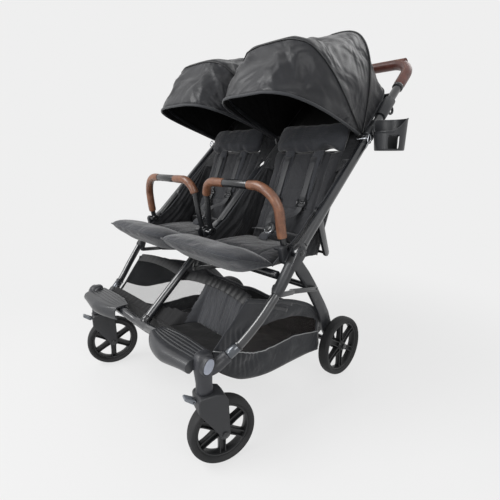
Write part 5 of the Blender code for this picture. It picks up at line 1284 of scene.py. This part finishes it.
# point on the canopy: row runs from 0 at the front hem to 3 at the rear bow, share from side to side
def hoodSurface(side, row, share, inset=0.0):
    index = min(int(row), 2)
    t = row - index
    here = bowPoint(side, hood["bows"][index], share, inset)
    there = bowPoint(side, hood["bows"][index + 1], share, inset)
    point = here.lerp(there, t)
    centre = Vector((side * hood["seatX"], hood["y"], hood["z"]))
    outward = point - centre
    outward.x *= 0.6
    outward.normalize()
    over = sin(pi * share) ** 0.8
    # cloth is drawn in between its bows and hangs in soft folds from the seams
    sag = -hood["drawnIn"][index] * sin(pi * t) * over
    seed = 3.1 if side > 0 else 8.7
    fold = noise.noise(Vector((share * 7.0 + seed, row * 1.6, seed))) * 0.0046
    crease = 0.0
    if index == 0:
        # the visor bulges over its front bow and is creased towards its corners
        sag += 0.008 * sin(pi * t) * over
        slant = noise.noise(Vector((share * 6.5 + t * 1.7 + seed, t * 1.2, 4.0)))
        crease = (0.35 - abs(slant)) * 0.021
        slant = noise.noise(Vector((share * 13.0 - t * 3.0, t * 2.6 + seed, 7.0)))
        crease += (0.30 - abs(slant)) * 0.012
    else:
        slant = noise.noise(Vector((share * 9.0 + seed, row * 2.4 - share * 3.0, 2.0)))
        crease = (0.30 - abs(slant)) * 0.014
        slant = noise.noise(Vector((share * 22.0, row * 3.6 + seed, 5.0)))
        crease += (0.25 - abs(slant)) * 0.006
    if 0.9 < row < 1.4:
        # the bow under the first seam lifts a roll of cloth, with a stitched tuck behind it
        sag += 0.0065 * over * max(0.0, 1 - ((row - 1.06) / 0.15) ** 2)
        sag -= 0.0035 * over * max(0.0, 1 - abs(row - 1.27) / 0.05)
    free = min(1.0, 4 * t * (1 - t) + 0.15)
    moved = point + outward * (sag + (fold + crease) * over * free)
    if row < 0.5:
        # the hem hangs a little below the front bow
        down = (here - there).normalized()
        moved += down * hood["visor"] * over * (1 - row / 0.5) ** 2
    return moved


def hoodLine(side, row, lift=0.0, skip=0):
    count = hood["columns"]
    return [hoodSurface(side, row, hoodShare(c, count), lift) for c in range(skip, count + 1 - skip)]


def makeCanopy(name, side):
    start = at(bowPoint(side, hood["bows"][2], 0.5))
    end = at(bowPoint(side, hood["bows"][0], 0.5))
    places = [index + step / count for index, count in enumerate(hood["rows"]) for step in range(count)]
    rows = [hoodLine(side, row) for row in places + [3.0]]
    *part, uv = grid(rows)
    cover = makePiece("canopy_cover_" + name, part, finish["hood"], "canopy_fabric", uv=uv)
    # the inner side takes the lining cloth, painted near black as painted shade
    cover.data.materials.append(finish["hoodLiningShade"])
    # the sheet's normals have to point out of the hood, since the lining is its inner side
    hub = at((side * hood["seatX"], hood["y"], hood["z"]))
    if sum(face.normal.dot(face.center - hub) * face.area for face in cover.data.polygons) < 0:
        cover.data.flip_normals()
    thickened(cover, hood["thick"], -1.0, lined=True)
    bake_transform(cover)
    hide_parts("canopy_" + name)
    # a flat hem band of doubled cloth, and round cords in the seams
    hem = [(across * 0.8, above * 1.3) for across, above in circle(0.0032, 12)]
    trims = []
    for label, row, section, lift, look in (("hem", 0.0, hem, 0.0, "binding"),
                                            ("seam", hood["seam"], circle(0.0018, 10), 0.0010, "piping"),
                                            ("rear_seam", 2.0, circle(0.0024, 10), 0.0016, "piping"),
                                            ("rear_hem", 3.0, circle(0.0030, 10), 0.0, "binding")):
        part = sweep(hoodLine(side, row, -lift, 2), section, up=(0, 0, 1))
        trim = makePiece(f"canopy_{label}_{name}", part, finish[look], "canopy_fabric")
        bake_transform(trim)
        trims.append(trim)
    declareSheet(cover, rows, "stretched", "front_bow_" + name, with_pieces=trims)


# rear panel of a canopy, from its rear bow down to the top of the backrest
def makeRearCurtain(name, side):
    rows = []
    for r in range(19):
        t = r / 18
        row = []
        for c in range(61):
            share = hoodShare(c, 60)
            top = hoodSurface(side, 3.0, share)
            foot = Vector((side * (hood["seatX"] + (0.5 - share) / 0.5 * hood["half"]), 0.268,
                           hood["z"] + 0.024 * (1 - abs(2 * share - 1) ** 6)))
            p = top.lerp(foot, t)
            hang = noise.noise(Vector((share * 9, t * 1.5, 5.0 + side))) * 0.010 + 0.016
            p.y += hang * sin(pi * t)
            p.z -= 0.010 * sin(pi * t)
            row.append(p)
        rows.append(row)
    *part, uv = grid(rows)
    # the rear panel takes the lining cloth, painted near black as painted shade
    curtain = makePiece("canopy_rear_curtain_" + name, part, finish["hoodLiningShade"], "canopy_fabric", uv=uv)
    thickened(curtain, 0.0012)
    at((side * hood["seatX"], 0.40, 0.92))
    at((side * hood["seatX"], 0.276, 0.806))
    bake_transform(curtain)
    declareSheet(curtain, rows, "hung", "canopy_cover_" + name)


# bright wire ring, pin and strap that tie a canopy's hinge to the frame
def makeClip(name, side):
    def onSide(*points):
        return [mirrored(side, point) for point in points]

    middle = Vector((side * 0.3735, 0.252, 0.767))
    ring = []
    for step in range(24):
        angle = 2 * pi * step / 24
        ring.append(middle + Vector((0.0, 0.0072 * cos(angle) * (1.15 - 0.35 * sin(angle)), 0.0125 * sin(angle))))
    part = sweep(ring, circle(0.0019, 8), up=(1, 0, 0), closed=True)
    makePiece("canopy_clip_" + name, part, finish["steel"], "grey_plastic", "upper_frame")
    part = sweep(onSide((0.3440, 0.232, 0.766), (0.3580, 0.238, 0.768), (0.3720, 0.246, 0.769)), circle(0.0022, 12),
                 up=(0, 0, 1))
    makePiece("canopy_pin_" + name, part, finish["steel"], "grey_plastic", "upper_frame")
    tail = onSide((0.3715, 0.252, 0.757), (0.3680, 0.249, 0.746), (0.3640, 0.240, 0.734))
    part = sweep(smoothLine(tail, 4), band(0.0060, 0.0014), up=(1, 0, 0))
    makePiece("canopy_clip_strap_" + name, part, finish["reflective"], "webbing", "upper_frame")
    # cloth tab that closes the canopy's rear corner against the tube, in the lining cloth painted near black as
    # painted shade
    line = [onFrame(along, side * 0.3400, -0.006) for along in (0.405, 0.43, 0.455, 0.485)]
    part = sweep(line, band(0.036, 0.0014), up=(1, 0, 0))
    makePiece("canopy_tab_" + name, part, finish["hoodLiningShade"], "canopy_fabric", "upper_frame")


for name, side in sides:
    makeCanopy(name, side)
    makeRearCurtain(name, side)
    makeClip(name, side)
print("canopies ready")


seat = {
    "x": 0.1735, "half": 0.1425,
    "panFront": -0.094, "panRear": 0.084, "panBottom": 0.4374, "panTop": 0.4654,
    "backY": 0.092, "backZ": 0.442, "backSlope": radians(67),
    "backLength": 0.405, "backHalf": 0.143, "backThick": 0.022,
    "pillowFrom": 0.78,          # share of the back's length where the head pillow starts
    "voxel": 0.005, "pressure": 4.0,
    "restX": 0.1640, "restHalf": 0.1628, "restLength": 0.148, "restRise": radians(17),
    "hingeY": -0.1044, "hingeZ": 0.4534,
}
backAlong = Vector((0.0, cos(seat["backSlope"]), sin(seat["backSlope"])))
backFace = Vector((0.0, -sin(seat["backSlope"]), cos(seat["backSlope"])))


# point on a backrest, x from the seat's middle
def onBack(side, x, share, height):
    return (Vector((side * (seat["x"] + x), seat["backY"], seat["backZ"]))
            + backAlong * seat["backLength"] * share + backFace * height)


def crown(u, v, power=4):
    return (1 - abs(u) ** power) * (1 - abs(v) ** power)


def makePan(name, side):
    def place(u, v, height):
        y = (seat["panFront"] + seat["panRear"]) / 2 + v * (seat["panRear"] - seat["panFront"]) / 2 * 0.975
        drawn = 1 - 0.018 * (1 - u * u) * abs(v) ** 3
        return Vector((side * (seat["x"] + u * (seat["half"] - 0.003)), y * drawn, height))

    def top(u, v):
        return seat["panTop"] - 0.008 + 0.009 * crown(u, v) - 0.004 * (1 + v) / 2

    def bottom(u, v):
        return seat["panBottom"] + 0.003 - 0.001 * crown(u, v)

    part = cushion(place, top, bottom, 26, 20)
    pad = makePiece("seat_cushion_" + name, part, finish["seat"], "seat_fabric")
    # only the upper side swells, since the rail carries the lower one
    swollen(pad, seat["voxel"], seat["pressure"], 0.008,
            pinned=lambda p: 1.0 if p.z > seat["panTop"] - 0.014 else 0.1)
    for vertex in pad.data.vertices:
        p = vertex.co - origin
        if p.z > seat["panTop"] - 0.006:
            across = abs(p.x) - seat["x"]
            channel = max(0.0, 1 - abs(abs(across) - 0.088) / 0.006)
            vertex.co.z -= 0.0030 * channel
            vertex.co.z += noise.noise(Vector((p.x * 22, p.y * 14, 1.0))) * 0.0018
    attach(pad, "front_frame")
    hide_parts("seat_pan_" + name)


def makeBack(name, side):
    def place(u, v, height):
        share = (v + 1) / 2 * seat["pillowFrom"] * 1.02 + 0.008
        drawn = 1 - 0.012 * (1 - v * v) * abs(u) ** 3
        return onBack(side, u * (seat["backHalf"] - 0.003) * drawn, share, height)

    def top(u, v):
        return -0.008 + 0.009 * crown(u, v)

    def bottom(u, v):
        return -seat["backThick"] + 0.003

    part = cushion(place, top, bottom, 28, 34)
    pad = makePiece("back_cushion_" + name, part, finish["seat"], "seat_fabric")
    base = onBack(side, 0, 0, 0)
    swollen(pad, seat["voxel"], seat["pressure"], 0.009,
            pinned=lambda p: 1.0 if (p - base).dot(backFace) > -0.012 else 0.15)
    for vertex in pad.data.vertices:
        p = vertex.co - origin
        height = (p - base).dot(backFace)
        share = (p - base).dot(backAlong) / seat["backLength"]
        across = (p.x - base.x) * side
        if height > -0.010:
            # two sewn channels down the back, and soft upright folds between them
            channel = max(0.0, 1 - abs(abs(across) - 0.094) / 0.007)
            channel += 0.6 * max(0.0, 1 - abs(share - 0.30) / 0.012)
            fold = noise.noise(Vector((across * 36, share * 3.0, 4.0 + side))) * 0.0042
            fold += noise.noise(Vector((across * 16, share * 9.0, 9.0 + side))) * 0.0030
            vertex.co += backFace * (fold - 0.0042 * channel)
    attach(pad, "seat_back_" + name)
    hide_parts("backrest_" + name)


# padded flap that hangs over the shoulder straps, fuller at its lower edge
def makePillow(name, side):
    rings = []
    steps, count = 20, 40
    for c in range(count + 1):
        u = -1 + 2 * c / count
        edge = 1 - abs(u) ** 8
        droop = noise.noise(Vector((u * 2.2, 3.0 + side, 0.0))) * 0.016 + 0.008 * (1 - u * u)
        low = seat["pillowFrom"] - droop / seat["backLength"]
        ring = []
        for step in range(steps):
            angle = 2 * pi * step / steps
            front = angle < pi
            t = 0.5 - 0.5 * cos(angle)
            share = low + t * (1.0 - low)
            full = (0.020 * (1 - t) ** 0.5 * min(1.0, t * 9) + 0.009) * edge
            wrinkle = noise.noise(Vector((u * 5, share * 24, 5.0 + side))) * 0.0035
            height = 0.003 + full + wrinkle if front else -0.012
            drawn = 1 - 0.05 * abs(2 * t - 1) ** 3
            ring.append(onBack(side, 0.007 + u * (seat["backHalf"] - 0.006) * drawn, share, height))
        rings.append(ring)
    pillow = makePiece("head_pillow_" + name, loft(rings), finish["pad"], "seat_fabric")
    swollen(pillow, seat["voxel"], 3.0, 0.006)
    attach(pillow, "seat_back_" + name)


def makeLegRest(name, side):
    forward = Vector((0.0, -cos(seat["restRise"]), sin(seat["restRise"])))
    upward = Vector((0.0, sin(seat["restRise"]), cos(seat["restRise"])))

    def place(u, v, height):
        share = (v + 1) / 2
        along = (seat["restLength"] + 0.020) * share - 0.020 - 0.036 * share * abs(u) ** 6
        start = Vector((side * (seat["restX"] + u * seat["restHalf"]), seat["hingeY"], seat["hingeZ"]))
        return start + forward * along + upward * height

    def top(u, v):
        return 0.0012 + 0.022 * max(0.0, cos(pi * v / 2)) ** 0.60 * (1 - abs(u) ** 7) ** 0.7

    def bottom(u, v):
        # the stuffing sinks towards the hinge, so the pad hangs deeper there
        low = 0.012 * 2.718 ** (-((v + 0.05) / 0.36) ** 2) * (1 - abs(u) ** 6)
        return -0.0012 - low - 0.020 * max(0.0, cos(pi * v / 2)) ** 0.70 * (1 - abs(u) ** 7) ** 0.7

    part = cushion(place, top, bottom, 30, 18)
    pad = makePiece("calf_cushion_" + name, part, finish["pad"], "seat_fabric")
    swollen(pad, 0.0045, 3.0, 0.004)
    hinge = Vector((side * seat["x"], seat["hingeY"], seat["hingeZ"]))
    for vertex in pad.data.vertices:
        p = vertex.co - origin - hinge
        if p.dot(upward) > 0:
            vertex.co += upward * (noise.noise(Vector((p.x * 12, p.dot(forward) * 20, 7.0 + side))) * 0.0036
                                   - 0.0016 * max(0.0, 1 - abs(p.dot(forward) - 0.012) / 0.006))
    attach(pad, "calf_rest_" + name)
    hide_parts("leg_rest_" + name)
    # corded edge round the front and the sides
    line = []
    for step in range(41):
        u = -1 + 2 * step / 40
        line.append(place(u * 0.995, 1.0, 0.0) + forward * 0.0012)
    left = [place(-0.995, v, 0.0) for v in [-0.9 + 1.85 * step / 14 for step in range(15)]]
    right = [place(0.995, v, 0.0) for v in [0.95 - 1.85 * step / 14 for step in range(15)]]
    part = sweep(left + line + right, circle(0.0016, 8), up=upward)
    makePiece("calf_piping_" + name, part, finish["binding"], "seat_fabric", "calf_rest_" + name)


# cloth at a seat's side, between the backrest's edge and a frame tube
def sideCloth(label, name, where, rows, thick, still, moving):
    *part, uv = grid(rows)
    # side walls and gussets take the wing cloth, painted darker as painted shade
    cloth = makePiece(f"seat_{label}_{where}_{name}", part, finish["wing"], "seat_fabric", uv=uv)
    thickened(cloth, thick)
    at(still)
    at(moving)
    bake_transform(cloth)
    declareSheet(cloth, rows, "hung", "handle_frame" if where == "outer" else "back_frame")


# side wall of a seat: cloth from the tube's line back to the backrest's edge
def makeWing(name, side, where):
    outer = where == "outer"
    out = 1 if outer else -1
    # the two lines meet where the backrest crosses the tube's line
    firstAlong, lastAlong, lastShare = 0.055, 0.332, 0.7146
    edgeX = seat["x"] + out * (seat["backHalf"] + 0.0015)
    rows = []
    for r in range(49):
        q = r / 48
        if q < 0.12:
            front = Vector((0.0, -0.100, 0.450)).lerp(onFrame(firstAlong, 0.0), q / 0.12)
        else:
            front = onFrame(firstAlong + (lastAlong - firstAlong) * (q - 0.12) / 0.88, 0.0)
        wider = min(1.0, max(0.0, q - 0.30) / 0.2)
        front.x = 0.3270 + 0.0110 * wider if outer else 0.0190 - 0.004 * wider
        back = onBack(1, 0, lastShare * q, 0.0)
        back.x = edgeX
        row = []
        for c in range(33):
            s = c / 32
            p = front.lerp(back, s)
            # upright folds, deeper low down where the cloth is slack
            slack = sin(pi * s) * (1 - q) ** 0.4
            fold = noise.noise(Vector((s * 7.0 + (3 if outer else 8) + side, q * 2.4, 2.0 + side))) * 0.013
            fold += noise.noise(Vector((s * 15.0, q * 5.0 + s * 3.0, 6.0 + side))) * 0.005
            p.x -= out * max(0.0, (0.008 + fold) * slack)
            row.append(Vector((side * p.x, p.y, p.z)))
        for c in range(1, 5):
            p = onBack(1, 0, lastShare * q, -seat["backThick"] * c / 4)
            row.append(Vector((side * (edgeX - out * 0.014 * c / 4), p.y, p.z)))
        rows.append(row)
    sideCloth("wing", name, where, rows, 0.0018, (side * seat["x"], 0.06, 0.62), (side * seat["x"], 0.155, 0.53))
    part = sweep([row[0] for row in rows], circle(0.0026, 8), up=(1, 0, 0))
    makePiece(f"seat_wing_edge_{where}_{name}", part, finish["binding"], "seat_fabric", "upper_frame")


# cloth between the top of a backrest's side and the frame tube, above where the two cross
def makeGusset(name, side, where):
    outer = where == "outer"
    out = 1 if outer else -1
    rows = []
    for r in range(19):
        q = r / 18
        tube = onFrame(0.290 + 0.126 * q, 0.3400 if outer else 0.0150 - 0.0150 * min(1.0, q * 4))
        edge = onBack(1, 0, 0.620 + 0.380 * q, -0.008)
        edge.x = seat["x"] + out * (seat["backHalf"] - 0.020)
        row = []
        for c in range(13):
            s = c / 12
            p = tube.lerp(edge, s)
            p.x += (noise.noise(Vector((s * 4.0, q * 7.0, 3.0 + side))) * 0.007 - out * 0.004) * sin(pi * s)
            row.append(Vector((side * p.x, p.y, p.z)))
        rows.append(row)
    sideCloth("gusset", name, where, rows, 0.0016, rows[9][0], rows[9][12])


harness = {
    "buckleY": 0.050, "buckleZ": 0.503, "buckleTilt": radians(52),
    # depth and radius of the buckle body's sections, the last two round the button's well
    "buckle": ((-0.0070, 0.0135), (-0.0060, 0.0185), (-0.0020, 0.0205), (0.0030, 0.0200), (0.0055, 0.0175),
               (0.0060, 0.0110), (0.0042, 0.0102)),
    "padFrom": 0.150, "padTo": 0.318, "padHalf": 0.0205, "padApart": 0.052,      # along the backrest
    "strap": 0.020, "waistStrap": 0.022, "crotchStrap": 0.034, "thick": 0.0014,
}


def makeHarness(name, side):
    facing = Vector((0.0, -sin(harness["buckleTilt"]), cos(harness["buckleTilt"])))
    across = Vector((1.0, 0.0, 0.0))
    buckle = Vector((side * seat["x"], harness["buckleY"], harness["buckleZ"]))
    body = "seat_back_" + name
    narrow, wide = band(harness["strap"], harness["thick"]), band(harness["waistStrap"], 0.0016)

    def webbing(label, path, section, up, carrier=body):
        makePiece(f"{label}_{name}", sweep(path, section, up=up), finish["webbing"], "webbing", carrier)

    for way, label in ((-1, "inner"), (1, "outer")):
        def place(u, v, height):
            along = harness["padFrom"] + (harness["padTo"] - harness["padFrom"]) * (v + 1) / 2
            share = along / seat["backLength"]
            middle = way * (harness["padApart"] + 0.006 * (v + 1) / 2)
            drawn = 1 - 0.10 * max(0.0, -v) ** 4
            return onBack(side, middle + u * harness["padHalf"] * drawn, share, height + 0.006)

        part = cushion(place, lambda u, v: 0.0055 + 0.0035 * crown(u, v, 3), lambda u, v: 0.0, 10, 22)
        pad = makePiece(f"shoulder_pad_{label}_{name}", part, finish["pad"], "webbing")
        swollen(pad, 0.004, 3.0, 0.004)
        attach(pad, body)
        for u, which in ((-1, "a"), (1, "b")):
            line = [place(u, -0.97 + 1.94 * step / 16, 0.004) for step in range(17)]
            makePiece(f"shoulder_piping_{label}_{which}_{name}", sweep(line, circle(0.0015, 8), up=backFace),
                      finish["binding"], "webbing", body)
        # webbing on the pad, and the strap down to the buckle
        line = [onBack(side, way * 0.052, share, 0.0185 - 0.002 * abs(share - 0.5))
                for share in [0.36 + 0.05 * step for step in range(8)]]
        webbing("shoulder_strap_" + label, line, narrow, backFace)
        start = onBack(side, way * 0.051, 0.40, 0.012)
        middle = onBack(side, way * 0.048, 0.27, 0.022)
        end = buckle + Vector((side * way * 0.016, 0.004, 0.002))
        line = smoothLine([start, middle, start.lerp(end, 0.72) + backFace * 0.006, end], 6)
        webbing("lap_strap_" + label, line, narrow, facing)
        # ladder slide: three bars across between two side bars
        slide = onBack(side, way * 0.0505, 0.345, 0.0175)
        parts = []
        for shift in (-0.010, 0.0, 0.010):
            bar = slide + backAlong * shift
            parts.append(sweep([bar - across * 0.0155, bar + across * 0.0155], circle(0.0022, 8), up=backFace))
        for shift in (-0.0145, 0.0145):
            bar = slide + across * shift
            parts.append(sweep([bar - backAlong * 0.012, bar + backAlong * 0.012], circle(0.0024, 8), up=backFace))
        makePiece(f"strap_slide_{label}_{name}", joined(*parts), finish["gloss"], "webbing", body)
        # waist strap from the seat's corner
        line = smoothLine([onBack(side, way * 0.118, 0.10, 0.010), onBack(side, way * 0.080, 0.10, 0.026),
                           buckle + Vector((side * way * 0.018, 0.002, -0.004))], 7)
        webbing("waist_strap_" + label, line, wide, (0, 0, 1), "front_frame")
    # buckle body, with a bright rim round the lower half of its button
    sideways = facing.cross(across)
    turns = [2 * pi * step / 32 for step in range(32)]
    rings = [[buckle + facing * depth + across * r * cos(turn) + sideways * r * sin(turn) * 1.08 for turn in turns]
             for depth, r in harness["buckle"]]
    case = makePiece("buckle_" + name, loft(rings), finish["plastic"], "black_plastic", "front_frame", sharp=50)
    arc = [buckle + facing * 0.0048 + across * 0.0165 * cos(turn) + sideways * 0.0178 * sin(turn)
           for turn in [radians(200 + 7 * step) for step in range(21)]]
    makePiece("buckle_rim_" + name, sweep(arc, circle(0.0013, 8), up=facing), finish["steel"], "grey_plastic",
              "front_frame")
    line = smoothLine([Vector((side * seat["x"], 0.020, 0.4735)), Vector((side * seat["x"], 0.026, 0.486)),
                       buckle - facing * 0.004 + Vector((0, -0.006, -0.008))], 6)
    part = sweep(line, band(harness["crotchStrap"], 0.006), up=(0, -1, 0.3))
    makePiece("crotch_strap_" + name, part, finish["pad"], "webbing", "front_frame")
    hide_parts("harness_" + name)


for name, side in sides:
    makePan(name, side)
    makeBack(name, side)
    makePillow(name, side)
    makeLegRest(name, side)
    for where in ("outer", "inner"):
        makeWing(name, side, where)
        makeGusset(name, side, where)
    makeHarness(name, side)
for node in pair("buckle_button"):
    refined(node, finish["gloss"], 0.0006, "grey_plastic")
print("seats ready")


bumper = {
    "half": 0.1465, "footY": -0.072, "footZ": 0.488, "topY": -0.109, "topZ": 0.645,
    "corner": 0.048, "outerCorner": 0.074,
    "radius": 0.0085, "gripRadius": 0.0128, "middleRadius": 0.0118, "middleHalf": 0.050,
    "leanOut": 0.005, "leanBack": 0.021,         # at the top
    "flareOut": 0.010, "flareBack": 0.016,       # at the feet, which reach out to the frame tubes
    "stitch": 0.0040, "stitchPitch": 0.0062, "threadRadius": 0.0005,
}


def barPath(side):
    rise = Vector((0.0, bumper["topY"] - bumper["footY"], bumper["topZ"] - bumper["footZ"]))
    height = rise.length
    up = rise.normalized()
    line = []
    for corner, way in ((bumper["outerCorner"], 1), (bumper["corner"], -1)):
        part = [(way * bumper["half"], step / 8 * (height - corner)) for step in range(9)]
        for step in range(1, 13):
            angle = pi / 2 * step / 12
            part.append((way * (bumper["half"] - corner * (1 - cos(angle))), height - corner + corner * sin(angle)))
        part.append((way * bumper["middleHalf"], height))
        line += part if way > 0 else part[::-1]
    path = []
    for x, along in line:
        share = smoothStep(along / height * 1.15)
        low = (1 - along / height) ** 1.5
        outward = bumper["flareOut"] * low * (1 if x > 0 else -0.6)
        foot = Vector((side * (seat["x"] + x + bumper["leanOut"] * share + outward),
                       bumper["footY"] + bumper["leanBack"] * share + bumper["flareBack"] * low, bumper["footZ"]))
        path.append(foot + up * along)
    return path


# short threads along a path, lifted off it
def stitchRow(path, up, offset):
    pitch, length, radius = bumper["stitchPitch"], bumper["stitch"], bumper["threadRadius"]
    parts = []
    travelled = 0.0
    turned = frames(path, up)
    nextAt = pitch / 2
    for index in range(len(path) - 1):
        here, there = path[index], path[index + 1]
        span = (there - here).length
        while nextAt < travelled + span:
            t = (nextAt - travelled) / span
            forward, normal, _ = turned[index]
            middle = here.lerp(there, t) + normal * offset
            raised = middle + normal * radius * 0.8
            line = [middle - forward * length / 2, raised - forward * length * 0.3, raised + forward * length * 0.3,
                    middle + forward * length / 2]
            parts.append(sweep(line, circle(radius, 5), up=normal))
            nextAt += pitch
        travelled += span
    return joined(*parts)


def leatherGrip(name, path, radius, material, body, up, node, slot):
    dense = smoothLine(path, 3)
    # the sleeve's ends are rounded
    scale = [0.93, 0.985] + [1.0] * (len(dense) - 4) + [0.985, 0.93]
    part = sweep(dense, circle(radius, 28), up=up, scale=scale)
    grip = makePiece(name, part, finish[material], slot, body, sharp=60)
    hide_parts(node)
    makePiece(name + "_stitches", stitchRow(dense, up, radius - 0.0002), finish["thread"], slot, body)


def makeBumper(name, side):
    path = barPath(side)
    body = "bumper_" + name
    half = len(path) // 2
    middleFrom, middleTo = path[half - 1], path[half]
    hub = [(0.0042, -0.0105), (0.0105, -0.0105), (0.0118, -0.0092), (0.0118, 0.0092), (0.0105, 0.0105),
           (0.0042, 0.0105)]
    parts = [sweep(path, circle(bumper["radius"], 20), up=(0, 1, 0))]
    for x in (bumper["half"] + bumper["flareOut"], -bumper["half"] - 0.6 * bumper["flareOut"]):
        foot = Vector((side * (seat["x"] + x), bumper["footY"] + bumper["flareBack"], bumper["footZ"]))
        parts.append(placed(turnedAround(hub, 32), Matrix.Translation(foot)))
    tube = makePiece("bumper_tube_" + name, joined(*parts), finish["gloss"], "black_plastic", body, sharp=45)
    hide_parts("bumper_bar_" + name)
    line = [middleFrom.lerp(middleTo, share) for share in (0.0, 0.03, 0.97, 1.0)]
    part = sweep(line, circle(bumper["middleRadius"], 28), up=(0, 1, 0), scale=[0.9, 1, 1, 0.9])
    makePiece("bumper_middle_" + name, part, finish["gloss"], "black_plastic", body, sharp=50)
    first = [path[3].lerp(path[2], 0.3)] + path[4:half - 1]
    first.append(middleFrom + (path[half - 2] - middleFrom).normalized() * 0.0004)
    second = [middleTo + (path[half + 1] - middleTo).normalized() * 0.0004] + path[half + 1:-9]
    for where, line in (("outer", first), ("inner", second)):
        leatherGrip(f"bumper_leather_{where}_{name}", line, bumper["gripRadius"], "leather", body,
                    Vector((0, 1, 0)), f"bumper_grip_{where}_{name}", "brown_leather")


for name, side in sides:
    makeBumper(name, side)


def handlePath(fromAlong):
    straight = frameLine["handleReach"] - frameLine["handleBend"]
    path = [onFrame(fromAlong + (straight - fromAlong) * step / 6, frameLine["tubeX"]) for step in range(6)]
    for step in range(13):
        angle = pi / 2 * step / 12
        path.append(onFrame(straight + frameLine["handleBend"] * sin(angle),
                            frameLine["tubeX"] - frameLine["handleBend"] * (1 - cos(angle))))
    return path + [mirrored(-1, point) for point in reversed(path)]


underneath = Vector((1, 0, 0)).cross(Vector((0.0, cos(frameLine["slope"]), sin(frameLine["slope"]))))
leatherGrip("handle_leather", handlePath(frameLine["gripFrom"] + 0.0006), 0.0172, "darkLeather", "upper_frame",
            underneath, "handle_grip", "dark_leather")
print("grips ready")
